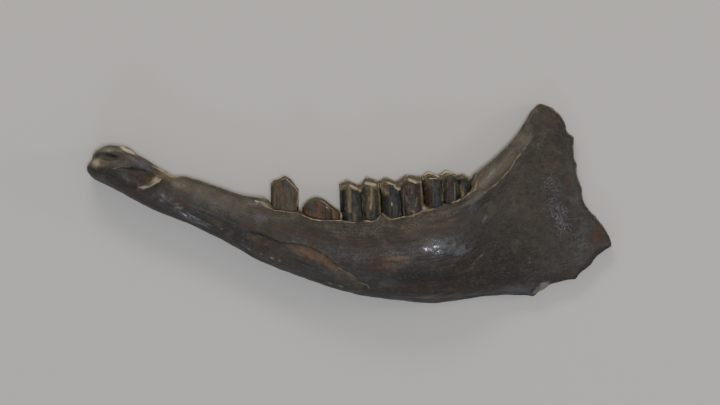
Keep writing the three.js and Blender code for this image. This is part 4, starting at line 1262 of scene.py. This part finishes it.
def mark_tooth(piece, name):
    """The marks that a tooth's material reads. What the photograph doesn't show has streaks of its own."""
    points, facing = points_of(piece)
    up, along = facing[:, 2], facing[:, 1]
    cheek, wall = ramp(up, *CROWN_MARK_FACES), ramp(np.abs(along), *WALL_FACES)
    marks = {kind: strokes(points, listed) * cheek * wall for kind, listed in CROWN_STROKES.items()}
    streaks = lumps(points, HIDDEN_STREAKS)
    hidden = (1 - cheek) * ramp(along, *HIDDEN_WALL_FACES)
    marks["cement"] += np.clip(streaks, 0, 1) * hidden
    marks["brown"] += np.clip(-streaks, 0, 1) * hidden
    ridge = np.empty(len(points), np.float32)
    piece.data.attributes["ridge"].data.foreach_get("value", ridge)
    bright = blend(1, blend(IVORY_BETWEEN_RIDGES, 1, ridge), ramp(along, *WORN_FACES))
    marks["ivory"] = strokes(points, CROWN_STROKES["ivory"]) * ramp(up, *IVORY_FACES) * bright
    marks["bare"] = np.full(len(points), float(name in UNWORN))
    marks["root"] = ramp(points[:, 1] + lumps(points, ROOT_FRAY), *ROOT_FROM)
    for mark_name, values in marks.items():
        mark(piece.data, mark_name, values)


TOOTH_PATTERNS = {
    "clouds": ("place", (5, 9, 5), 3, False),
    "fray": ("place", (2, 3.5, 2), 3, False),
    "bands": ("place", (1.8, 11, 1.8), 3, False),
    "lines": ("place", (1.1, 10, 1.1), 3, False),
    "crumbs": ("place", (1.2, 1.2, 1.2), 3, False),
}
TOOTH_COLOURS = [
    (None, "clouds", 1, -0.12, 0.12, 1, "#2a2a28"),
    (None, "bands", 1, 0, 0.2, 0.5, "#3b372c"),
    ("bare", "clouds", 1, 0.1, 1, 0.9, "#4b4030"),
    ("bare", "bands", 2, 0.9, 1.4, 0.6, "#5e5340"),
    (None, "lines", 1, -0.06, -0.2, 0.35, "#0f0e0d"),
    ("root", "fray", 1, 0, 1, 1, "#463c2e"),
    # Brown stains, and painted shade on the last molar's recessed front end.
    ("brown", "fray", 0.8, 0.2, 0.9, 0.9, "#37231a"),
    ("slate", "fray", 0.8, 0.2, 0.9, 0.85, "#33353a"),
    ("stain", "fray", 0.8, 0.2, 0.9, 0.85, "#5f3d28"),
    ("cement", "fray", 0.8, 0.2, 0.8, 0.9, "#5a4f3b"),
    ("cement", "bands", 1.8, 0.6, 1.2, 0.85, "#948669"),
    ("worn", "fray", 1, 0, 1, 1, "#655c4b"),
    ("worn", "lines", 2, 0.7, 1.4, 0.6, "#40382c"),
    ("ridge", "fray", 2, 0.3, 1.1, 0.85, "#938970"),
    ("pit", "fray", 0, 0, 1, 1, "#15120f"),
    # Ivory: pale worn enamel, with painted light on lit facets.
    ("ivory", "fray", 0.8, 0.2, 0.8, 0.9, "#c2b8a0"),
]
TOOTH_ROUGHNESS = [
    (None, "fray", 1, -0.3, 0.3, 0.14),
    ("cement", "fray", 1, 0.3, 0.8, 0.25),
    ("worn", "fray", 1, 0.3, 0.8, 0.2),
]
TOOTH_BUMPS = [(None, "lines", 1, -0.4, 0.4, 0.8), (None, "crumbs", 1, -0.4, 0.4, 0.4)]


def stained_enamel():
    """Enamel turned slate grey in the ground, glassy on the walls, with dull tan cement left in streaks and
    a worn face of ivory ridges round browner dentine. The ivory strokes also carry painted light on the
    facets that face the light."""
    return finish(
        "stained_enamel", ior=1.63, specular=0.22, patterns=TOOTH_PATTERNS,
        first_colour="#1b1b1a", colours=TOOTH_COLOURS, first_roughness=0.4, roughnesses=TOOTH_ROUGHNESS,
        bumps=TOOTH_BUMPS, bump_depth=0.1)


camera()
studio()
bone = jaw_bone()
mark_bone(bone)
bone.data.materials.append(mineralised_bone())
bone.data.shade_smooth()
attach(bone, "root")
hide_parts("jawbone")

enamel = stained_enamel()
for name, tooth in TEETH.items():
    piece = tooth_piece(name, tooth)
    mark_tooth(piece, name)
    piece.data.materials.append(enamel)
    piece.data.shade_smooth()
    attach(piece, "root")
    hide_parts(name)
